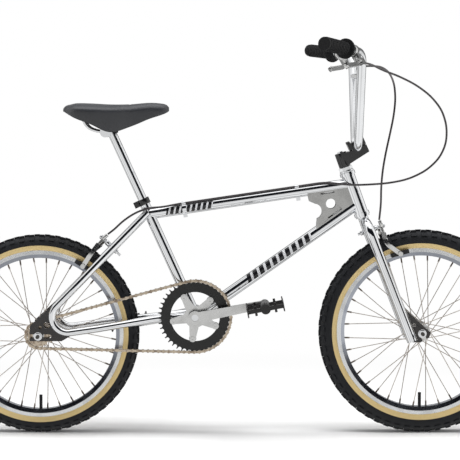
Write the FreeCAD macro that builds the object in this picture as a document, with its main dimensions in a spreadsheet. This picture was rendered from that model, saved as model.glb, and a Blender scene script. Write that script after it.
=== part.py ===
import FreeCAD, Part
import math
import os
import Sketcher

# BMX bicycle, 20 inch wheels. Millimetres. +X points to the front wheel, +Z up, +Y to the
# rider's left, so the chain and the right-hand pieces are on the -Y side.
# The origin is on the ground, midway between the two ends of the bicycle.

Vector = FreeCAD.Vector
ALONG_Y = Vector(0, 1, 0)
RIGHT, LEFT = -1, 1

DRIVING_SIZES = {
    # wheels and wheelbase
    "wheelbase": 950, "rear_tyre_radius": 248, "front_tyre_radius": 254, "rim_radius": 209,
    "rim_depth": 19, "rim_width": 28, "rim_flange": 1.4, "rim_well": 7, "rear_tyre_section": 20.5,
    "front_tyre_section": 23, "tread_height": 4, "tyre_wall": 3.5, "tread_blocks": 60,
    "spoke_radius": 1, "nipple_radius": 2, "spokes_per_side": 18, "hub_flange_radius": 22.5,
    "hub_hole_circle": 19, "hub_flange_thick": 3, "hub_barrel_radius": 13, "rear_flange_right": 26,
    "rear_flange_left": 30, "front_flange": 30, "axle_radius": 4.75, "running_gap": 0.05,
    "rear_hub_width": 110, "front_hub_width": 99, "axle_end": 16, "axle_nut_radius": 8.2,
    "axle_nut_width": 8.5, "axle_tip_radius": 4.4, "axle_washer_radius": 10.5, "axle_washer": 1.5,
    "valve_radius": 4, "valve_length": 34,
    # frame
    "bracket_height": 295, "chainstay_run": 388, "seat_angle": 65.55, "seat_tube_length": 318,
    "seat_stay_join": 280, "seat_tube_radius": 12.7, "post_radius": 11.1, "main_tube_radius": 14.3,
    "tube_wall": 1.6, "bracket_radius": 20, "bracket_bore": 17.4, "bracket_width": 73,
    "bracket_cup_flange": 3, "spindle_radius": 8.5, "head_angle": 70.2, "fork_offset": 39.3,
    "fork_length": 330, "head_tube_radius": 16.75, "head_tube_bore": 14.5, "head_tube_length": 98,
    "cup_height": 8, "cup_radius": 19.5, "top_tube_join": 75.5, "down_tube_join": 24,
    "top_tube_seat_join": 278, "down_tube_drop": 6, "stay_radius": 9.5, "stay_half_gap": 58.5,
    "loop_radius": 38.7, "loop_ahead": 73.5, "loop_height": 47.8, "seat_stay_angle": 45.5,
    "chain_stay_angle": 8.1, "dropout_thick": 6, "slot_width": 9.9, "brake_bridge_back": 126,
    "chain_bridge_along": 315, "clamp_height": 15, "clamp_wall": 3.2,
    # gusset behind the head tube
    "rear_clip": 84, "front_clip": 368, "gusset_half_gap": 11.5, "gusset_thick": 2, "gusset_top": 112,
    "gusset_foot": 128, "gusset_hole": 12.4, "gusset_notch": 19, "gusset_notch_up": 42.3,
    "gusset_notch_back": -109.3,
    # fork, headset and stem
    "steerer_radius": 12.7, "fork_leg_radius": 12.7, "fork_half_gap": 52, "fork_leg_tilt": 1.4,
    "fork_leg_end": 340, "fork_plate_thick": 5, "crown_bolt_drop": 49.5, "locknut_height": 14,
    "stem_column_radius": 14.5, "stem_column_height": 36, "stem_width": 44, "bar_radius": 11.1,
    "bar_rise": 231, "stem_reach": 43, "bar_lift": 34.5, "bar_foot": 44, "bar_shoulder": 162.5,
    "bar_end_out": 345, "bar_sweep": 99.4, "bar_end_lift": 17, "bar_foot_bend": 34,
    "bar_shoulder_bend": 48, "crossbar_rise": 178, "crossbar_radius": 8, "grip_length": 118,
    "grip_radius": 15.5, "grip_flange_radius": 24, "grip_flange": 4,
    # drive
    "chain_pitch": 12.7, "ring_teeth": 44, "cog_teeth": 16, "chain_line": 42, "sprocket_thick": 2.6,
    "roller_radius": 3.9, "ring_roller_play": 0.9, "cog_roller_play": 1.3, "plate_thick": 1, "plate_radius": 4.1,
    "ring_inner_radius": 61, "ring_bolt_circle": 55, "spider_arms": 5, "crank_length": 175,
    "crank_angle": 11, "crank_thick": 14, "crank_inner_face": 58, "spider_thick": 5, "pedal_width": 96,
    "pedal_length": 88, "pedal_height": 27, "pedal_start": 78, "pedal_spindle": 5,
    # seat
    "saddle_clamp_rise": 503, "saddle_length": 256, "saddle_skin": 6, "saddle_pad": 18,
    "rail_radius": 3.5,
    # rim brakes and their controls
    "brake_bolt_radius": 3, "brake_arm_width": 11, "brake_arm_thick": 6, "pad_gap": 2.5,
    "pad_length": 46, "pad_height": 10, "pad_thick": 9, "arm_spread": 33, "cable_radius": 2.5,
    "lever_station": 213,
}


def text_of(number):
    return number.text if isinstance(number, Size) else repr(float(number))


class Size(float):
    """A number that keeps the sheet expression it was worked out from."""

    def __new__(cls, value, text=None):
        made = super().__new__(cls, value)
        made.text = text or repr(float(value))
        return made

    def __add__(self, other):
        return Size(float(self) + float(other), f"({self.text} + {text_of(other)})")

    def __radd__(self, other):
        return Size(float(other) + float(self), f"({text_of(other)} + {self.text})")

    def __sub__(self, other):
        return Size(float(self) - float(other), f"({self.text} - {text_of(other)})")

    def __rsub__(self, other):
        return Size(float(other) - float(self), f"({text_of(other)} - {self.text})")

    def __mul__(self, other):
        return Size(float(self) * float(other), f"({self.text} * {text_of(other)})")

    __rmul__ = __mul__

    def __truediv__(self, other):
        return Size(float(self) / float(other), f"({self.text} / {text_of(other)})")

    def __neg__(self):
        return Size(-float(self), f"(0 - {self.text})")


doc = FreeCAD.newDocument("bmx_bike")


def fill_sheet():
    """Write the driving sizes to the sheet and hand each one back as a Size."""
    sheet = doc.addObject("Spreadsheet::Sheet", "Dims")
    sizes = type("Sizes", (), {})()
    for row, (alias, value) in enumerate(DRIVING_SIZES.items(), start=1):
        sheet.set(f"A{row}", alias)
        sheet.set(f"B{row}", str(value))
        sheet.setAlias(f"B{row}", alias)
    doc.recompute()
    for alias in DRIVING_SIZES:
        setattr(sizes, alias, Size(sheet.get(alias), f"Dims.{alias}"))
    return sizes


S = fill_sheet()
nodes = {}


# ---------------------------------------------------------------- building helpers

def keep(name, item):
    """Register one finished sub-part, given as a document object or as a bare shape."""
    if isinstance(item, Part.Shape):
        made = doc.addObject("Part::Feature", name)
        made.Shape = item
        item = made
    item.Label = name
    nodes[name] = item
    return item


def bind(item, **sizes):
    """Set an object's sizes and tie each one to the sheet."""
    for prop, size in sizes.items():
        setattr(item, prop, float(size))
        if isinstance(size, Size):
            item.setExpression(prop, size.text)
    return item


def turned_to(direction, spot=Vector()):
    """Placement that carries +Z onto a direction."""
    return FreeCAD.Placement(spot, FreeCAD.Rotation(Vector(0, 0, 1), direction))


def rod(name, radius, length, placement):
    made = bind(doc.addObject("Part::Cylinder", name), Radius=radius, Height=length)
    made.Placement = placement
    return made


def bored_rod(name, radius, bore, length, placement):
    """A hollow cylinder made as a rod with a smaller rod cut out of it."""
    made = doc.addObject("Part::Cut", name)
    made.Base = rod(name + "_outside", radius, length, placement)
    made.Tool = rod(name + "_bore", bore, length, placement)
    return made


def cylinder(start, end, radius):
    return Part.makeCylinder(float(radius), (end - start).Length, start, end - start)


def pipe_shape(start, end, radius, wall):
    return cylinder(start, end, radius).cut(cylinder(start, end, float(radius) - float(wall)))


def side_outline(points):
    """Closed wire in the plane of the frame through (x, z) points."""
    corners = [Vector(x, 0, z) for x, z in points]
    return Part.makePolygon(corners + corners[:1])


def side_plate(points, thick, middle=0.0):
    """A flat plate parallel to the frame's plane, centred on a distance from that plane."""
    plate = Part.Face(side_outline(points)).extrude(Vector(0, float(thick), 0))
    plate.translate(Vector(0, float(middle) - float(thick) / 2, 0))
    return plate


def rounded_path(points, radii=None):
    """Straight runs joined by tangent arcs. Without radii each arc is as large as its runs allow."""
    edges = []
    used = []
    start = points[0]
    for place in range(1, len(points) - 1):
        before, corner, after = points[place - 1:place + 2]
        back, ahead = (before - corner), (after - corner)
        shorter = min(back.Length, ahead.Length)
        back.normalize()
        ahead.normalize()
        half_turn = (math.pi - back.getAngle(ahead)) / 2
        radius = 0.45 * shorter / math.tan(half_turn) if radii is None else float(radii[place - 1])
        reach = radius * math.tan(half_turn)
        into, out = corner + back * reach, corner + ahead * reach
        bisector = (back + ahead).normalize()
        middle = corner + bisector * (radius / math.cos(half_turn) - radius)
        edges.append(Part.LineSegment(start, into).toShape())
        edges.append(Part.Arc(into, middle, out).toShape())
        used.append(radius)
        start = out
    edges.append(Part.LineSegment(start, points[-1]).toShape())
    return Part.Wire(edges), used


def swept(points, radius, radii=None):
    """A round bar along a path of straight runs and tangent arcs."""
    path, used = rounded_path(points, radii)
    ring = Part.Wire(Part.makeCircle(float(radius), points[0], points[1] - points[0]))
    bar = path.makePipeShell([ring], True, False)
    return bar, used, path.Length


def flat_bar(points, width, thick, normal):
    """A flat bar bent along its corner points, with its broad face square to a normal."""
    normal = Vector(normal).normalize()
    run = (points[1] - points[0]).normalize()
    across = normal.cross(run).normalize()
    face = run.cross(across).normalize()
    half_width, half_thick = float(width) / 2, float(thick) / 2
    signs = ((1, 1), (1, -1), (-1, -1), (-1, 1))
    corners = [points[0] + across * (half_width * a) + face * (half_thick * b) for a, b in signs]
    section = Part.makePolygon(corners + corners[:1])
    sweep = Part.BRepOffsetAPI.MakePipeShell(rounded_path(points)[0])
    sweep.setBiNormalMode(normal)
    sweep.add(section)
    sweep.build()
    sweep.makeSolid()
    return Part.Solid(sweep.shape())


def sketch_on(body, role, corners):
    """A closed outline on one of the body's own planes, every corner tied to the sheet."""
    sketch = body.newObject("Sketcher::SketchObject", "outline")
    plane = next(item for item in body.Origin.OriginFeatures if item.Role == role)
    sketch.AttachmentSupport = (plane, [""])
    sketch.MapMode = "FlatFace"
    count = len(corners)
    for place, corner in enumerate(corners):
        following = corners[(place + 1) % count]
        start, end = Vector(*map(float, corner), 0), Vector(*map(float, following), 0)
        sketch.addGeometry(Part.LineSegment(start, end))
    for place in range(count):
        joint = Sketcher.Constraint("Coincident", place, 2, (place + 1) % count, 1)
        sketch.addConstraint(joint)
    for place, corner in enumerate(corners):
        for kind, size in zip(("DistanceX", "DistanceY"), corner):
            index = sketch.addConstraint(Sketcher.Constraint(kind, -1, 1, place, 1, float(size)))
            if isinstance(size, Size):
                sketch.setExpression(f"Constraints[{index}]", size.text)
    return sketch


def turned_body(name, centre, corners):
    """A piece turned about the Y axis of its centre, from (radius, y) corners."""
    body = doc.addObject("PartDesign::Body", name)
    sketch = sketch_on(body, "XY_Plane", corners)
    turn = body.newObject("PartDesign::Revolution", "turn")
    turn.Profile = sketch
    turn.ReferenceAxis = (sketch, ["V_Axis"])
    turn.Angle = 360
    body.Placement = FreeCAD.Placement(centre, FreeCAD.Rotation())
    return body


# ---------------------------------------------------------------- main points of the frame

rear_x = -(S.wheelbase + S.front_tyre_radius - S.rear_tyre_radius) / 2
rear_axle = Vector(rear_x, 0, S.rear_tyre_radius)
front_axle = Vector(rear_x + S.wheelbase, 0, S.front_tyre_radius)
bracket = Vector(rear_x + S.chainstay_run, 0, S.bracket_height)

head_tilt = math.radians(S.head_angle)
HEAD_UP = Vector(-math.cos(head_tilt), 0, math.sin(head_tilt))
HEAD_AHEAD = Vector(math.sin(head_tilt), 0, math.cos(head_tilt))
head_low = front_axle - HEAD_AHEAD * float(S.fork_offset) + HEAD_UP * float(S.fork_length)

seat_tilt = math.radians(S.seat_angle)
SEAT_UP = Vector(-math.cos(seat_tilt), 0, math.sin(seat_tilt))
SEAT_AHEAD = Vector(math.sin(seat_tilt), 0, math.cos(seat_tilt))


def on_head(up, ahead=0.0, out=0.0):
    """A point by its height above the head tube's lower end, along the steering axis."""
    return head_low + HEAD_UP * float(up) + HEAD_AHEAD * float(ahead) + Vector(0, float(out), 0)


def on_seat(up, ahead=0.0, out=0.0):
    """A point by its height above the bottom bracket, along the seat tube."""
    return bracket + SEAT_UP * float(up) + SEAT_AHEAD * float(ahead) + Vector(0, float(out), 0)


# ---------------------------------------------------------------- main triangle

def build_head_tube():
    tube = bored_rod("head_tube_shell", S.head_tube_radius, S.head_tube_bore, S.head_tube_length,
                     turned_to(HEAD_UP, head_low))
    cups = []
    for end, way in ((0.0, -1), (float(S.head_tube_length), 1)):
        outer = on_head(end + way * float(S.cup_height))
        cup = cylinder(on_head(end), outer, S.cup_radius)
        cup = cup.cut(cylinder(on_head(end), outer, S.steerer_radius + 1.2))
        sleeve = pipe_shape(on_head(end - way * 9), on_head(end), S.head_tube_bore, 1.3)
        cups.append(cup.fuse(sleeve).removeSplitter())
    doc.recompute()
    keep("head_tube", Part.makeCompound([tube.Shape] + cups))


def solid_tube_shapes():
    """The outsides of the tubes, used to shape the pieces that are welded to them."""
    long = 30.0
    return {
        "head": cylinder(on_head(-2), on_head(S.head_tube_length + 2), S.head_tube_radius),
        "seat": cylinder(on_seat(-5), on_seat(S.seat_tube_length), S.seat_tube_radius),
        "bracket": cylinder(bracket - ALONG_Y * long * 2, bracket + ALONG_Y * long * 2, S.bracket_radius),
        "top": cylinder(on_seat(S.top_tube_seat_join), on_head(S.top_tube_join), S.main_tube_radius),
        "down": cylinder(down_start(), on_head(S.down_tube_join), S.main_tube_radius),
    }


def down_start():
    return bracket - Vector(0, 0, float(S.down_tube_drop))


def build_main_tubes(outside):
    top = pipe_shape(on_seat(S.top_tube_seat_join), on_head(S.top_tube_join), S.main_tube_radius, S.tube_wall)
    keep("top_tube", largest(top.cut([outside["seat"], outside["head"]])))
    down = pipe_shape(down_start(), on_head(S.down_tube_join), S.main_tube_radius, S.tube_wall)
    keep("down_tube", largest(down.cut([outside["bracket"], outside["head"], outside["seat"]])))
    seat = cylinder(on_seat(0), on_seat(S.seat_tube_length), S.seat_tube_radius)
    bore = cylinder(on_seat(-1), on_seat(S.seat_tube_length + 1), S.post_radius + S.running_gap)
    keep("seat_tube", largest(seat.cut([bore, outside["bracket"]])))


def largest(shape):
    return max(shape.Solids, key=lambda solid: solid.Volume)


def build_bracket():
    """Bottom bracket shell with the two bearing cups screwed into it."""
    half = S.bracket_width / 2
    along = turned_to(ALONG_Y, bracket - ALONG_Y * float(half))
    shell = bored_rod("bracket_shell", S.bracket_radius, S.bracket_bore, S.bracket_width, along)
    doc.recompute()
    cups = []
    for way in (RIGHT, LEFT):
        face = bracket + ALONG_Y * (way * float(half))
        inner = face - ALONG_Y * (way * 14)
        outer = face + ALONG_Y * (way * float(S.bracket_cup_flange))
        cup = cylinder(inner, face, S.bracket_bore).fuse(cylinder(face, outer, S.bracket_radius - 1))
        bore = cylinder(inner - ALONG_Y * way, outer + ALONG_Y * way, S.spindle_radius + S.running_gap)
        cups.append(cup.cut(bore).removeSplitter())
    keep("bottom_bracket_shell", Part.makeCompound([shell.Shape] + cups))


# ---------------------------------------------------------------- loop tail and dropouts

loop_centre = rear_axle + Vector(S.loop_ahead, 0, S.loop_height)


def loop_corner():
    """Where the lines of the seat stay and the chain stay would cross behind the loop."""
    upper, lower = math.radians(S.seat_stay_angle), math.radians(S.chain_stay_angle)
    half = (upper - lower) / 2
    away = float(S.loop_radius) / math.sin(half)
    return loop_centre - Vector(math.cos(lower + half), 0, math.sin(lower + half)) * away


def stay_points(side):
    """Corners of one looped stay: top end, loop, bend behind the chainring, bracket end."""
    upper, lower = math.radians(S.seat_stay_angle), math.radians(S.chain_stay_angle)
    corner = loop_corner()
    out = float(S.stay_half_gap)
    run_up = Vector(math.cos(upper), 0, math.sin(upper))
    run_ahead = Vector(math.cos(lower), 0, math.sin(lower))
    shoulder = 175.0
    to_seat = ((on_seat(S.seat_stay_join) - corner).dot(run_up))
    top = corner + run_up * to_seat + ALONG_Y * (side * 16.0)
    elbow_up = corner + run_up * shoulder + ALONG_Y * (side * out)
    elbow_low = corner + run_ahead * shoulder + ALONG_Y * (side * out)
    neck = corner + run_ahead * 322.0 + ALONG_Y * (side * 26.5)
    end = bracket + ALONG_Y * (side * 26.5) + Vector(0, 0, 3)
    return [top, elbow_up, corner + ALONG_Y * (side * out), elbow_low, neck, end]


STAY_BENDS = [120.0, None, 120.0, 90.0]


def stay_shape(side, radius):
    bends = [S.loop_radius if bend is None else bend for bend in STAY_BENDS]
    return swept(stay_points(side), radius, bends)[0]


def build_stays(outside):
    for name, side in (("right", RIGHT), ("left", LEFT)):
        stay = stay_shape(side, S.stay_radius).cut(stay_shape(side, S.stay_radius - S.tube_wall))
        stay = stay.cut([outside["seat"], outside["bracket"], outside["top"]])
        keep(f"loop_stay_{name}", largest(stay))


def build_rear_dropouts():
    """Plates welded into the loops, with an open slot for the axle and a lightening hole."""
    back, foot = rear_axle.x, rear_axle.z
    corners = [(38, 79), (-19.5, 26.5), (-21, 5.5), (-21, -12), (58.5, -12), (80, 0.5), (72, 40)]
    axle_at = S.slot_width / 2
    plates = []
    for side in (RIGHT, LEFT):
        plate = side_plate([(back + x, foot + z) for x, z in corners], S.dropout_thick, side * S.stay_half_gap)
        slot_end = rear_axle + Vector(28, 0, 0)
        slot = side_plate([(back - 30, foot - axle_at), (slot_end.x, foot - axle_at),
                           (slot_end.x, foot + axle_at), (back - 30, foot + axle_at)], 200)
        round_end = cylinder(slot_end - ALONG_Y * 100, slot_end + ALONG_Y * 100, axle_at)
        holes = [(22, 27.5, 8.2), (5, 22, 4.2)]
        drills = [cylinder(rear_axle + Vector(x, -100, z), rear_axle + Vector(x, 100, z), radius)
                  for x, z, radius in holes]
        plate = plate.cut([slot, round_end] + drills + [stay_shape(side, S.stay_radius)])
        plates.append(largest(plate))
    keep("rear_dropouts", Part.makeCompound(plates))


def brake_bridge_point():
    upper = math.radians(S.seat_stay_angle)
    top = stay_points(LEFT)[0]
    return Vector(top.x, 0, top.z) - Vector(math.cos(upper), 0, math.sin(upper)) * float(S.brake_bridge_back)


def build_bridges():
    """Cross tubes: one carries the rear brake, one braces the stays behind the bracket."""
    hollow = []
    lower = math.radians(S.chain_stay_angle)
    brace = loop_corner() + Vector(math.cos(lower), 0, math.sin(lower)) * float(S.chain_bridge_along)
    for middle, radius in ((brake_bridge_point(), 8.0), (brace, 7.0)):
        bridge = cylinder(middle - ALONG_Y * 60, middle + ALONG_Y * 60, radius)
        bridge = bridge.cut([stay_shape(RIGHT, S.stay_radius), stay_shape(LEFT, S.stay_radius)])
        inner = min(bridge.Solids, key=lambda solid: abs(solid.CenterOfMass.y))
        hollow.append(inner)
    bolt = cylinder(brake_bridge_point() - BRAKE_BACK * 40, brake_bridge_point() + BRAKE_BACK * 40,
                    S.brake_bolt_radius + S.running_gap)
    hollow[0] = hollow[0].cut(bolt)
    keep("stay_bridges", Part.makeCompound(hollow))


# ---------------------------------------------------------------- gusset, seat clamp, cable clips

def build_gusset(outside):
    """Two plates and a curved web that box in the corner between top tube and down tube."""
    top_run = (on_seat(S.top_tube_seat_join) - on_head(S.top_tube_join)).normalize()
    down_run = (down_start() - on_head(S.down_tube_join)).normalize()
    upper = on_head(S.top_tube_join) + top_run * float(S.gusset_top)
    lower = on_head(S.down_tube_join) + down_run * float(S.gusset_foot)
    notch = on_head(S.gusset_notch_up, S.gusset_notch_back)
    edge = [on_head(70.8, -113.2), on_head(57.9, -99.5), on_head(22.7, -109.4), on_head(13.7, -113.7)]
    corners = [on_head(S.top_tube_join), upper, *edge, lower, on_head(S.down_tube_join)]
    solid = side_plate([(p.x, p.z) for p in corners], S.gusset_half_gap * 2 + S.gusset_thick)
    solid = solid.cut(cylinder(notch - ALONG_Y * 50, notch + ALONG_Y * 50, S.gusset_notch))
    web = float(S.gusset_thick)
    room = [on_head(S.top_tube_join), upper + top_run * -web, *[spot + HEAD_AHEAD * web for spot in edge],
            lower + down_run * -web, on_head(S.down_tube_join)]
    inside = side_plate([(p.x, p.z) for p in room], S.gusset_half_gap * 2 - S.gusset_thick)
    inside = inside.cut(cylinder(notch - ALONG_Y * 50, notch + ALONG_Y * 50, float(S.gusset_notch) + web))
    solid = solid.cut(inside).cut([outside["top"], outside["down"], outside["head"]])
    hole = on_head(46.6, -64.3)
    round_hole = cylinder(hole - ALONG_Y * 50, hole + ALONG_Y * 50, S.gusset_hole)
    slots = []
    half_slot = 1.6
    slot_ends = ((on_head(77.9, -78.8), on_head(71.6, -47.4)), (on_head(15.8, -81.3), on_head(25.5, -44.6)))
    for start, end in slot_ends:
        slots += [cylinder(spot - ALONG_Y * 50, spot + ALONG_Y * 50, half_slot) for spot in (start, end)]
        across = (end - start).normalize().cross(ALONG_Y) * half_slot
        outline = [start + across, end + across, end - across, start - across]
        slots.append(side_plate([(p.x, p.z) for p in outline], 100))
    keep("head_gusset", largest(solid.cut([round_hole] + slots)))


def build_seat_clamp():
    """Split ring on the seat tube, squeezed by a bolt behind it."""
    top, low = S.seat_tube_length, S.seat_tube_length - S.clamp_height
    radius = S.seat_tube_radius + S.clamp_wall
    ring = cylinder(on_seat(low), on_seat(top), radius)
    lug = Part.makeBox(14, 20, float(S.clamp_height))
    lug.Placement = FreeCAD.Placement(on_seat(low, -float(radius) - 9, -10),
                                      FreeCAD.Rotation(ALONG_Y, -(90 - float(S.seat_angle))))
    gap = Part.makeBox(30, 2, float(S.clamp_height) + 2)
    gap.Placement = FreeCAD.Placement(on_seat(low - 1, -float(radius) - 14, -1), lug.Placement.Rotation)
    bolt_at = on_seat(low + S.clamp_height / 2, -float(radius) - 3)
    hole = cylinder(bolt_at - ALONG_Y * 20, bolt_at + ALONG_Y * 20, 2.6)
    ring = ring.fuse(lug).cut([cylinder(on_seat(low - 1), on_seat(top + 1), S.seat_tube_radius), gap, hole])
    bolt = cylinder(bolt_at - ALONG_Y * 13, bolt_at + ALONG_Y * 15, 2.5)
    bolt = bolt.fuse(cylinder(bolt_at - ALONG_Y * 15, bolt_at - ALONG_Y * 10, 4.5))
    nut = cylinder(bolt_at + ALONG_Y * 10, bolt_at + ALONG_Y * 14, 4.2)
    keep("seat_clamp", Part.makeCompound([largest(ring), bolt.fuse(nut).removeSplitter()]))


top_start = on_seat(S.top_tube_seat_join)
TOP_RUN = (on_head(S.top_tube_join) - top_start).normalize()
TOP_OVER = Vector(-TOP_RUN.z, 0, TOP_RUN.x)
CABLE_LEAN = math.radians(38)
CABLE_LIFT = 3.2


def on_top_tube(along, lift):
    """A point above the surface of the top tube, on the line where the cable is clipped."""
    reach = float(S.main_tube_radius) + lift
    around = TOP_OVER * math.cos(CABLE_LEAN) - ALONG_Y * math.sin(CABLE_LEAN)
    return top_start + TOP_RUN * float(along) + around * reach


def build_cable_clips():
    """Two thin bands round the top tube, each with an eye for the cable and a screw tab below."""
    clips = []
    width = 10
    turn = FreeCAD.Rotation(Vector(1, 0, 0), TOP_RUN)
    for along in (S.rear_clip, S.front_clip):
        start = top_start + TOP_RUN * float(along)
        band = cylinder(start, start + TOP_RUN * width, S.main_tube_radius + 1.2)
        eye_ends = [on_top_tube(spot, CABLE_LIFT) for spot in (along, along + width)]
        eye = cylinder(*eye_ends, S.cable_radius + 1.8)
        tab = Part.makeBox(width, 7, 12)
        corner = start - TOP_OVER * (float(S.main_tube_radius) + 8) - ALONG_Y * 3.5
        tab.Placement = FreeCAD.Placement(corner, turn)
        tube_room = cylinder(start - TOP_RUN, start + TOP_RUN * (width + 1), S.main_tube_radius)
        cable_room = cylinder(on_top_tube(along - 1, CABLE_LIFT), on_top_tube(along + width + 1, CABLE_LIFT),
                              S.cable_radius + 0.4)
        band = band.fuse(tab).fuse(eye)
        clips.append(largest(band.cut(tube_room).cut(cable_room)))
    keep("cable_clips", Part.makeCompound(clips))


# ---------------------------------------------------------------- fork, headset, stem, handlebar

def leg_point(up, side):
    """A point on the middle line of one fork leg, by height above the head tube's lower end."""
    ahead = 2 - math.tan(math.radians(S.fork_leg_tilt)) * (up + 26)
    return on_head(up, ahead, side * S.fork_half_gap)


def fork_leg(side, radius):
    points = [on_head(-25, 0, side * 4.0), leg_point(-27, side), leg_point(-float(S.fork_leg_end), side)]
    return swept(points, radius, [34.0])[0]


def build_fork():
    steerer_low, steerer_top = on_head(-58), on_head(S.head_tube_length + S.cup_height + 12)
    steerer = cylinder(steerer_low, steerer_top, S.steerer_radius)
    race = cylinder(on_head(-float(S.cup_height) - 4), on_head(-float(S.cup_height) - 0.3), 17.5)
    bore = cylinder(on_head(40), on_head(300), S.bar_radius)
    crown_bolt = on_head(-float(S.crown_bolt_drop))
    drill = cylinder(crown_bolt - HEAD_AHEAD * 40, crown_bolt + HEAD_AHEAD * 40,
                     S.brake_bolt_radius + S.running_gap)
    keep("fork_steerer", steerer.fuse(race).removeSplitter().cut([bore, drill]))
    for name, side in (("right", RIGHT), ("left", LEFT)):
        leg = fork_leg(side, S.fork_leg_radius).cut(fork_leg(side, S.fork_leg_radius - S.tube_wall))
        leg = leg.cut([steerer, race, drill])
        middle = side_plate([(-900, -100), (900, -100), (900, 900), (-900, 900)], 0.2)
        keep(f"fork_leg_{name}", largest(leg.cut(middle)))


def build_fork_dropouts():
    """Plates on the front of the legs; the axle slot opens downwards."""
    plates = []
    offsets = [(-36, 55), (22, 2), (17, -11), (-4, -22), (-24, -22), (-48, 50)]
    slot_half = float(S.slot_width) / 2
    for side in (RIGHT, LEFT):
        outline = [(front_axle.x + x, front_axle.z + z) for x, z in offsets]
        plate = side_plate(outline, S.fork_plate_thick, side * S.fork_half_gap)
        slot_foot = front_axle - HEAD_UP * 40
        across = HEAD_AHEAD * slot_half
        slot_outline = [front_axle + across, slot_foot + across, slot_foot - across, front_axle - across]
        slot = side_plate([(p.x, p.z) for p in slot_outline], 200)
        round_end = cylinder(front_axle - ALONG_Y * 90, front_axle + ALONG_Y * 90, slot_half)
        drill_at = front_axle + Vector(-20, 0, 21)
        drill = cylinder(drill_at - ALONG_Y * 90, drill_at + ALONG_Y * 90, 3.6)
        plate = plate.cut([slot, round_end, drill, fork_leg(side, S.fork_leg_radius)])
        plates.append(largest(plate))
    keep("fork_dropouts", Part.makeCompound(plates))


def build_headset_locknut():
    """Upper race and hexagon locknut on the steerer."""
    foot = S.head_tube_length + S.cup_height + 0.3
    race = cylinder(on_head(foot), on_head(foot + 5), 17.5)
    corners = [Vector(17.5 * math.cos(math.radians(60 * k)), 17.5 * math.sin(math.radians(60 * k)), 0)
               for k in range(7)]
    nut = Part.Face(Part.makePolygon(corners)).extrude(Vector(0, 0, float(S.locknut_height) - 6))
    nut.Placement = turned_to(HEAD_UP, on_head(foot + 5.6))
    bore = cylinder(on_head(foot - 5), on_head(foot + 40), S.steerer_radius)
    keep("headset_locknut", Part.makeCompound([race.cut(bore), nut.cut(bore)]))


stem_foot = S.head_tube_length + S.cup_height + S.locknut_height + 1
bar_middle = on_head(stem_foot + S.bar_lift, S.stem_reach)
CLAMP_TILT = 24


def clamp_outline(low, high, back, front):
    """Corners in the frame's plane, measured from the bar's centre along the tilted clamp."""
    tilt = math.radians(CLAMP_TILT)
    run, rise = Vector(math.cos(tilt), 0, math.sin(tilt)), Vector(-math.sin(tilt), 0, math.cos(tilt))
    corners = [(back, low), (front, low), (front, high), (back, high)]
    return [bar_middle + run * x + rise * z for x, z in corners]


def build_stem():
    """Column that drops into the steerer, forged into the cradle that holds the bar."""
    column = cylinder(on_head(stem_foot), on_head(stem_foot + S.stem_column_height), S.stem_column_radius)
    quill = cylinder(on_head(44), on_head(stem_foot), S.bar_radius - S.running_gap)
    low_back, low_front, high_front, high_back = clamp_outline(-20, -1, -20, 24)
    foot_back = on_head(stem_foot + 2, float(S.stem_column_radius) - 8)
    rear_top = on_head(stem_foot + S.stem_column_height, 0)
    outline = [foot_back, low_front, high_front, high_back, rear_top]
    cradle = side_plate([(p.x, p.z) for p in outline], S.stem_width)
    bar_room = cylinder(bar_middle - ALONG_Y * 60, bar_middle + ALONG_Y * 60, S.bar_radius)
    bolt_room = cylinder(on_head(40), on_head(300), 4.1)
    recess = cylinder(on_head(stem_foot + S.stem_column_height - 6), on_head(300), 6.7)
    stem = column.multiFuse([quill, cradle]).cut([bar_room, bolt_room, recess] + clamp_bolts(3.1, 3.1))
    keep("stem_body", largest(stem))
    cap_outline = clamp_outline(1, 17, -20, 24)
    cap = side_plate([(p.x, p.z) for p in cap_outline], S.stem_width).cut([bar_room] + clamp_bolts(3.1, 3.1))
    keep("stem_cap", Part.makeCompound([largest(cap)] + clamp_bolts(3.0, 4.6)))
    head_foot = stem_foot + S.stem_column_height - 6
    head = cylinder(on_head(head_foot), on_head(head_foot + 9), 6.5)
    bolt = cylinder(on_head(52), on_head(head_foot), 4).fuse(head)
    keep("stem_bolt", bolt)


def clamp_bolts(radius, head_radius):
    """Four bolts through the cap into the cradle."""
    tilt = math.radians(CLAMP_TILT)
    run, rise = Vector(math.cos(tilt), 0, math.sin(tilt)), Vector(-math.sin(tilt), 0, math.cos(tilt))
    bolts = []
    for along in (-15.5, 18.5):
        for out in (-15, 15):
            foot = bar_middle + run * along + rise * -14 + ALONG_Y * out
            bolt = cylinder(foot, foot + rise * 31, radius)
            if head_radius > radius:
                bolt = bolt.fuse(cylinder(foot + rise * 31, foot + rise * 36, head_radius)).removeSplitter()
            bolts.append(bolt)
    return bolts


def bar_corners(side):
    lift = Vector(0, 0, 1)
    foot = bar_middle + ALONG_Y * (side * float(S.bar_foot))
    shoulder = bar_middle + ALONG_Y * (side * float(S.bar_shoulder)) + lift * float(S.bar_rise)
    reach = float(S.bar_end_out) - float(S.bar_shoulder)
    end = shoulder + Vector(-float(S.bar_sweep), side * reach, float(S.bar_end_lift))
    return foot, shoulder, end


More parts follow.
